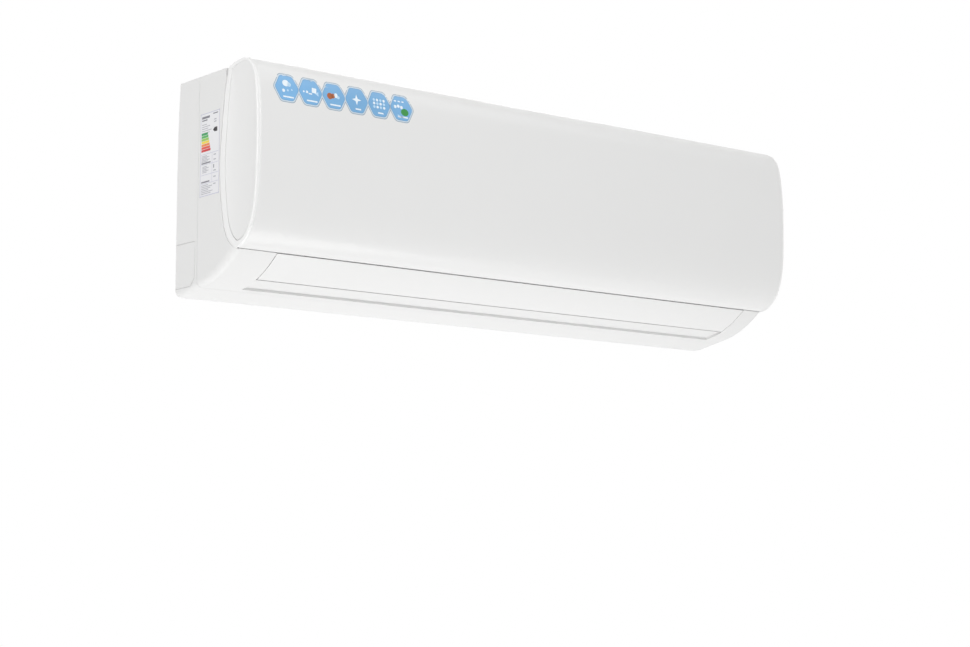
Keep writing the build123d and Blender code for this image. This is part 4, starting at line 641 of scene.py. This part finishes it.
def make_cap(side, word):
    """A dished cap that fills the rim at one end of the panel."""
    bm = panel_copy()
    outline = set(cut_end(bm, side))
    rest = [edge for edge in bm.edges if edge not in outline]
    bmesh.ops.delete(bm, geom=rest, context="EDGES")
    middle = at(0, *RIM_CENTRE)
    fit = [full * (1 - CAP_GAP) for full in rim_scale(1.0)]
    bmesh.ops.scale(bm, vec=(1, *fit), space=Matrix.Translation(-middle), verts=bm.verts)
    floor = end_plane(side) - side * CAP_FLOOR * MM
    bmesh.ops.translate(bm, vec=(floor - bm.verts[:][0].co.x, 0, 0), verts=bm.verts)
    edges = list(bm.edges)
    bmesh.ops.contextual_create(bm, geom=edges)
    before = 1.0
    for share, inset in CAP_RINGS:
        step = share / before
        edges = move_ring(bm, edges, side, inset, (step, step), CAP_CENTRE)
        before = share
    bmesh.ops.contextual_create(bm, geom=edges)
    bmesh.ops.recalc_face_normals(bm, faces=bm.faces)
    cap = make_piece(bm, f"end_cap_{word}", FINISHES["white_cap"], "panel", smooth=50)
    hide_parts(f"panel_cap_{word}")


# ---- coils with their fins and tubes, and filters with a woven net ----

FILTER_TOP = 95.0  # depth of the filter slope where it passes the casing top
CASE_HEIGHT = 246.0
FILTER_SLOPE = math.radians(18.87)  # off upright
FILTER_LENGTH = 168.0
NET_PITCH = 2.0
NET_THREAD = 0.34
NET_EDGE = 3.0  # from the filter's edges to the outermost threads
SHEET_REACH = 0.3  # the plain sheet in the windows lies this close to the filter's middle plane
SHEET_MERGE = 0.05
FIN_SHEET = 0.2
FIN_PITCH = 1.3
TUBE_LEFT = 58.0
TUBE_RIGHT = 656.0
TUBE_RADIUS = 2.5
TUBE_PITCH = 12.7
TUBE_FIRST = 29.85  # from the casing top down the slope to the first tube
TUBE_ROWS = (9.5, 18.5)
TUBE_COUNT = 10


def slope_place(x, down, behind):
    """A point so far down the filter slope and so far behind it."""
    depth = FILTER_TOP + down * math.sin(FILTER_SLOPE) - behind * math.cos(FILTER_SLOPE)
    return at(x, depth, CASE_HEIGHT - down * math.cos(FILTER_SLOPE) - behind * math.sin(FILTER_SLOPE))


def make_fins(name):
    """A coil as a stack of thin plates."""
    bm = copy_of(name)
    left = min(vert.co.x for vert in bm.verts)
    right = max(vert.co.x for vert in bm.verts)
    for vert in bm.verts:
        if vert.co.x > left + MM:
            vert.co.x = left + FIN_SHEET * MM
    fins = make_piece(bm, f"{name}_fins", FINISHES["fins"], "casing")
    stack = fins.modifiers.new("stack", "ARRAY")
    stack.use_relative_offset = False
    stack.use_constant_offset = True
    stack.constant_offset_displace = (FIN_PITCH * MM, 0, 0)
    stack.count = int((right - left) / (FIN_PITCH * MM))
    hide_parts(name)


def make_tubes():
    """The copper tubes that run through the front coil's fins."""
    bm = bmesh.new()
    middle = (TUBE_LEFT + TUBE_RIGHT) / 2
    turn = Matrix.Rotation(math.pi / 2, 4, "Y")
    for behind in TUBE_ROWS:
        for number in range(TUBE_COUNT):
            place = Matrix.Translation(slope_place(middle, TUBE_FIRST + TUBE_PITCH * number, behind))
            bmesh.ops.create_cone(
                bm, cap_ends=True, segments=12, radius1=TUBE_RADIUS * MM, radius2=TUBE_RADIUS * MM,
                depth=(TUBE_RIGHT - TUBE_LEFT) * MM, matrix=place @ turn,
            )
    tubes = make_piece(bm, "coil_tubes", FINISHES["copper"], "casing")


def make_filter(name):
    """A filter: its ribbed frame with the windows open, and a net of threads across them."""
    node = nodes[name]
    body = node["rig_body"]
    bm = copy_of(name)
    across = Vector((0, math.cos(FILTER_SLOPE), -math.sin(FILTER_SLOPE)))
    origin = slope_place(0, 0, 0)
    sheet = []
    for face in bm.faces:
        height = (face.calc_center_median() - origin).dot(across)
        if abs(height) < SHEET_REACH * MM and abs(face.normal.dot(across)) > 0.9:
            sheet.append(face)
    bmesh.ops.delete(bm, geom=sheet, context="FACES")
    open_verts = [vert for vert in bm.verts if vert.is_boundary]
    for vert in open_verts:
        vert.co -= across * (vert.co - origin).dot(across)
    bmesh.ops.remove_doubles(bm, verts=open_verts, dist=SHEET_MERGE * MM)
    left = (min(vert.co.x for vert in bm.verts) - cad_box[0].x) / MM + NET_EDGE
    right = (max(vert.co.x for vert in bm.verts) - cad_box[0].x) / MM - NET_EDGE
    rib = make_piece(bm, f"{name}_frame", FINISHES["blue_filter"], body)
    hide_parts(name)

    net = bmesh.new()
    lean = Matrix.Rotation(-FILTER_SLOPE, 4, "X")
    middle = (left + right) / 2
    for number in range(int((FILTER_LENGTH - 2 * NET_EDGE) / NET_PITCH) + 1):
        place = Matrix.Translation(slope_place(middle, NET_EDGE + NET_PITCH * number, 0))
        size = Matrix.Diagonal(((right - left) * MM, NET_THREAD * MM, NET_THREAD * MM, 1))
        bmesh.ops.create_cube(net, size=1.0, matrix=place @ lean @ size)
    for number in range(int((right - left) / NET_PITCH) + 1):
        place = Matrix.Translation(slope_place(left + NET_PITCH * number, FILTER_LENGTH / 2, 0))
        size = Matrix.Diagonal((NET_THREAD * MM, NET_THREAD * MM, (FILTER_LENGTH - 2 * NET_EDGE) * MM, 1))
        bmesh.ops.create_cube(net, size=1.0, matrix=place @ lean @ size)
    weave = make_piece(net, f"{name}_net", FINISHES["net"], body)


# ---- flat printed marks: stickers on the panel and the label on the side ----


def bar(bm, x0, y0, x1, y1, width):
    """A thin strip between two points of the drawing."""
    start, end = Vector((x0, y0, 0)), Vector((x1, y1, 0))
    along = end - start
    made = bmesh.ops.create_grid(bm, x_segments=1, y_segments=1, size=0.5)["verts"]
    bmesh.ops.scale(bm, vec=(along.length, width, 1), verts=made)
    turn = Matrix.Rotation(math.atan2(along.y, along.x), 4, "Z")
    bmesh.ops.transform(bm, matrix=Matrix.Translation((start + end) / 2) @ turn, verts=made)


def disc(bm, x, y, radius, sides=16, turn=0.0, stretch=1.0):
    """A filled round or many-sided shape of the drawing."""
    made = bmesh.ops.create_circle(bm, cap_ends=True, segments=sides, radius=radius)["verts"]
    place = Matrix.Translation((x, y, 0)) @ Matrix.Diagonal((1, stretch, 1, 1))
    bmesh.ops.transform(bm, matrix=place @ Matrix.Rotation(math.radians(turn), 4, "Z"), verts=made)


def star(bm, x, y, radius, points, waist=0.36):
    """A star with that many points."""
    made = bmesh.ops.create_circle(bm, cap_ends=True, segments=2 * points, radius=radius)["verts"]
    bmesh.ops.scale(bm, vec=(waist, waist, 1), verts=made[1::2])
    turn = Matrix.Rotation(math.radians(90), 4, "Z")
    bmesh.ops.transform(bm, matrix=Matrix.Translation((x, y, 0)) @ turn, verts=made)


def print_on(bm, name, material, body, place, tree=None, lift=0.06):
    """Lay a drawing in millimetres on the unit: place maps its points, tree drapes it from the front."""
    if tree:
        bmesh.ops.triangulate(bm, faces=bm.faces)
        bmesh.ops.subdivide_edges(bm, edges=bm.edges, cuts=2, use_grid_fill=True)
    for vert in bm.verts:
        vert.co = place(vert.co)
        if tree:
            hit, normal, _, _ = tree.ray_cast(vert.co, Vector((0, 1, 0)))
            if normal.y > 0:
                normal = -normal
            vert.co = hit + normal * lift * MM
    piece = make_piece(bm, name, material, body)
    return piece


def ink(name, colour, roughness=0.4, uneven=0.06):
    """Print or paper: nearly smooth, with hardly any dust."""
    return plastic(name, colour, roughness, grain=0.5, relief=0.002, dust=0.05, uneven=uneven, bevel=0.0)


STICKERS = 6
STICKER_RADIUS = 18.5
STICKER_TALL = 1.035  # height against a regular hexagon's
STICKER_PITCH = 31.4
STICKER_FIRST = 39.3
STICKER_HEIGHT = 217.4
STICKER_LAYERS = (
    # name, size, colour, lift off the panel
    ("outline", 1.0, (0.3, 0.38, 0.47), 0.04),
    ("silver", 0.955, (0.6, 0.7, 0.78), 0.07),
    ("line", 0.87, (0.16, 0.36, 0.62), 0.1),
    ("face", 0.83, (0.2, 0.45, 0.75), 0.13),
)
SYMBOL_LIFT = 0.17


def hexagon(bm, x, y, radius, stretch, corner=0.17):
    """A hexagon with flat top and bottom and rounded corners."""
    made = bmesh.ops.create_circle(bm, cap_ends=True, segments=6, radius=radius)["verts"]
    place = Matrix.Translation((x, y, 0)) @ Matrix.Diagonal((1, stretch, 1, 1))
    bmesh.ops.transform(bm, matrix=place @ Matrix.Rotation(math.radians(30), 4, "Z"), verts=made)
    bmesh.ops.bevel(
        bm, geom=made, offset=radius * corner, segments=3, profile=0.5, affect="VERTICES", material=-1
    )


def sticker_symbols():
    """White, pale blue, orange and green drawings, one small symbol for each sticker."""
    drawings = {name: bmesh.new() for name in ("white", "pale", "orange", "green")}
    white, pale, orange, green = drawings.values()
    places = [STICKER_FIRST + STICKER_PITCH * i for i in range(STICKERS)]
    base = STICKER_HEIGHT
    for number, x in enumerate(places):
        half = 3.8 if number in (3, 4) else 7.0
        bar(white, x - half + 1.5, base - 10.2, x + half + 1.5, base - 10.2, 1.7)
    # bubbles
    x = places[0]
    disc(white, x - 1.2, base + 5.4, 4.4, stretch=0.85)
    disc(pale, x + 3.2, base + 4.4, 2.6)
    disc(white, x - 4.6, base - 3.4, 1.9)
    disc(pale, x + 1.0, base - 2.6, 1.3)
    disc(pale, x + 6.4, base - 1.4, 1.0)
    # two sizes of block with a line between them
    x = places[1]
    for left, size in ((-9.0, 2.8), (-4.6, 3.8)):
        disc(white, x + left, base - 0.4, size / 2, sides=4, turn=45)
    bar(white, x - 2.6, base - 2.0, x + 2.0, base - 2.0, 1.4)
    disc(white, x + 5.0, base + 2.4, 4.2, sides=4, turn=40)
    disc(pale, x + 9.0, base - 1.0, 3.0, sides=3, turn=90)
    # ray of warmth
    x = places[2]
    disc(orange, x - 5.2, base - 0.4, 3.9, stretch=0.95)
    disc(orange, x - 1.2, base + 0.2, 2.9)
    disc(white, x + 3.0, base + 1.2, 2.4, stretch=1.2)
    disc(pale, x + 6.0, base - 0.6, 1.9)
    # sparkle
    star(white, places[3], base + 0.8, 6.4, 4)
    # grid of dots
    x = places[4]
    for column in range(4):
        for row in range(3):
            bm = white if (column + row) % 2 else pale
            disc(bm, x - 7 + 4.6 * column, base - 3.4 + 4.2 * row, 1.7, sides=8)
    # breeze and leaf
    x = places[5]
    for i in range(3):
        disc(white, x - 8.5 + 4.4 * i, base + 1.2 + 1.0 * (i % 2), 2.0, sides=10)
        bar(white, x - 9.5 + 5.4 * i, base + 8.2, x - 6.5 + 5.4 * i, base + 8.0, 1.5)
    disc(green, x + 4.6, base - 4.2, 5.4, turn=16, stretch=0.8)
    bar(pale, x - 6.0, base - 8.6, x + 2.0, base - 10.6, 1.4)
    return drawings


SYMBOL_COLOURS = {
    "white": (0.82, 0.9, 0.96),
    "pale": (0.48, 0.7, 0.9),
    "orange": (0.42, 0.11, 0.03),
    "green": (0.03, 0.27, 0.05),
}


def make_stickers():
    """Six blue hexagons with a silver edge on the panel's upper left."""
    copy = copy_of("front_panel")
    tree = BVHTree.FromBMesh(copy)
    copy.free()

    def place(point):
        return at(point.x, 200, point.y)

    for name, size, colour, lift in STICKER_LAYERS:
        bm = bmesh.new()
        for number in range(STICKERS):
            x = STICKER_FIRST + STICKER_PITCH * number
            hexagon(bm, x, STICKER_HEIGHT, STICKER_RADIUS * size, STICKER_TALL)
        paint = ink(f"sticker_{name}", colour, 0.25, uneven=0.5 if name == "face" else 0.15)
        print_on(bm, f"sticker_{name}s", paint, "panel", place, tree, lift)
    for name, bm in sticker_symbols().items():
        paint = ink(f"symbol_{name}", SYMBOL_COLOURS[name], 0.3)
        print_on(bm, f"sticker_symbols_{name}", paint, "panel", place, tree, SYMBOL_LIFT)


LABEL_REAR = 48.6
LABEL_WIDTH = 40.0
LABEL_LOW = 107.0
LABEL_HEIGHT = 95.0
SCALE_COLOURS = (
    (0.02, 0.3, 0.09),
    (0.08, 0.42, 0.1),
    (0.3, 0.55, 0.1),
    (0.85, 0.66, 0.05),
    (0.8, 0.25, 0.06),
    (0.72, 0.08, 0.05),
    (0.6, 0.03, 0.035),
)


def make_label():
    """The white label on the left side, with a stepped colour scale and plain bars in place of words."""

    def place(point):
        return at(-0.02 - point.z, LABEL_REAR + point.x, LABEL_LOW + point.y)

    def layer(level):
        def placed(point):
            return place(Vector((point.x, point.y, level)))
        return placed

    width, height = LABEL_WIDTH, LABEL_HEIGHT
    sheet = bmesh.new()
    bar(sheet, 0, height / 2, width, height / 2, height)
    print_on(sheet, "label_sheet", ink("label_paper", (0.8, 0.8, 0.82), 0.45), "casing", layer(0.03))

    edge = bmesh.new()
    for y in (0.6, height - 0.6):
        bar(edge, 0, y, width, y, 0.7)
    for x in (0.6, width - 0.6):
        bar(edge, x, 0, x, height, 0.7)
    for y in (48, 36, 24.5, 14.5):
        bar(edge, 2, y, width - 2, y, 0.45)
    bar(edge, 25, 15, 25, 48, 0.45)
    print_on(edge, "label_border", ink("label_lavender", (0.5, 0.5, 0.62)), "casing", layer(0.06))

    dark = bmesh.new()
    bar(dark, 3, 90, 19, 90, 2.6)
    bar(dark, 3, 86.8, 14, 86.8, 1.4)
    bar(dark, 26, 92, 36, 92, 1.2)
    bar(dark, 3, 37.8, 22, 37.8, 1.6)
    bar(dark, 3, 16.4, 20, 16.4, 1.6)
    bar(dark, 28.6, 30, 28.6, 34, 1.6)
    print_on(dark, "label_headings", ink("label_dark_grey", (0.2, 0.2, 0.23)), "casing", layer(0.07))

    grey = bmesh.new()
    rows = [(y, 3, 10 + (7 * number) % 11) for number, y in enumerate((82, 79.6, 77.2, 74.8, 72.4))]
    rows += [(46.0 - 1.55 * i, 3, 11 + (5 * i) % 9) for i in range(5)]
    rows += [(33.8 - 1.6 * i, 5, 9 + (4 * i) % 8) for i in range(5)]
    rows += [(12.6 - 1.9 * i, 3, 14 + (9 * i) % 13) for i in range(6)]
    for y, x, length in rows:
        bar(grey, x, y, x + length, y, 0.8)
    for y in (85, 82.4, 45, 39.5, 27, 20, 12):
        bar(grey, 28, y, 33, y, 1.2)
    print_on(grey, "label_lines", ink("label_grey", (0.42, 0.42, 0.46)), "casing", layer(0.07))

    for number, colour in enumerate(SCALE_COLOURS):
        stripe = bmesh.new()
        y = 71.2 - 3.15 * number
        bar(stripe, 2.4, y, 15.5 + 1.0 * number, y, 2.7)
        paint = ink(f"scale_ink_{number + 1}", colour)
        print_on(stripe, f"label_scale_{number + 1}", paint, "casing", layer(0.08))

    pointer = bmesh.new()
    bar(pointer, 29, 73.4, 35, 73.4, 5.0)
    disc(pointer, 28.6, 73.4, 2.9, sides=3, turn=90)
    print_on(pointer, "label_pointer", ink("label_black", (0.03, 0.025, 0.03)), "casing", layer(0.08))


scene.view_settings.view_transform = "Standard"
make_camera()
make_lights()
make_floor()
dress_nodes()
make_panel()
for side, word in ((-1, "left"), (1, "right")):
    make_cap(side, word)
make_stickers()
make_label()
for name in ("coil_front", "coil_rear"):
    make_fins(name)
make_tubes()
for name in ("filter_left", "filter_right"):
    make_filter(name)
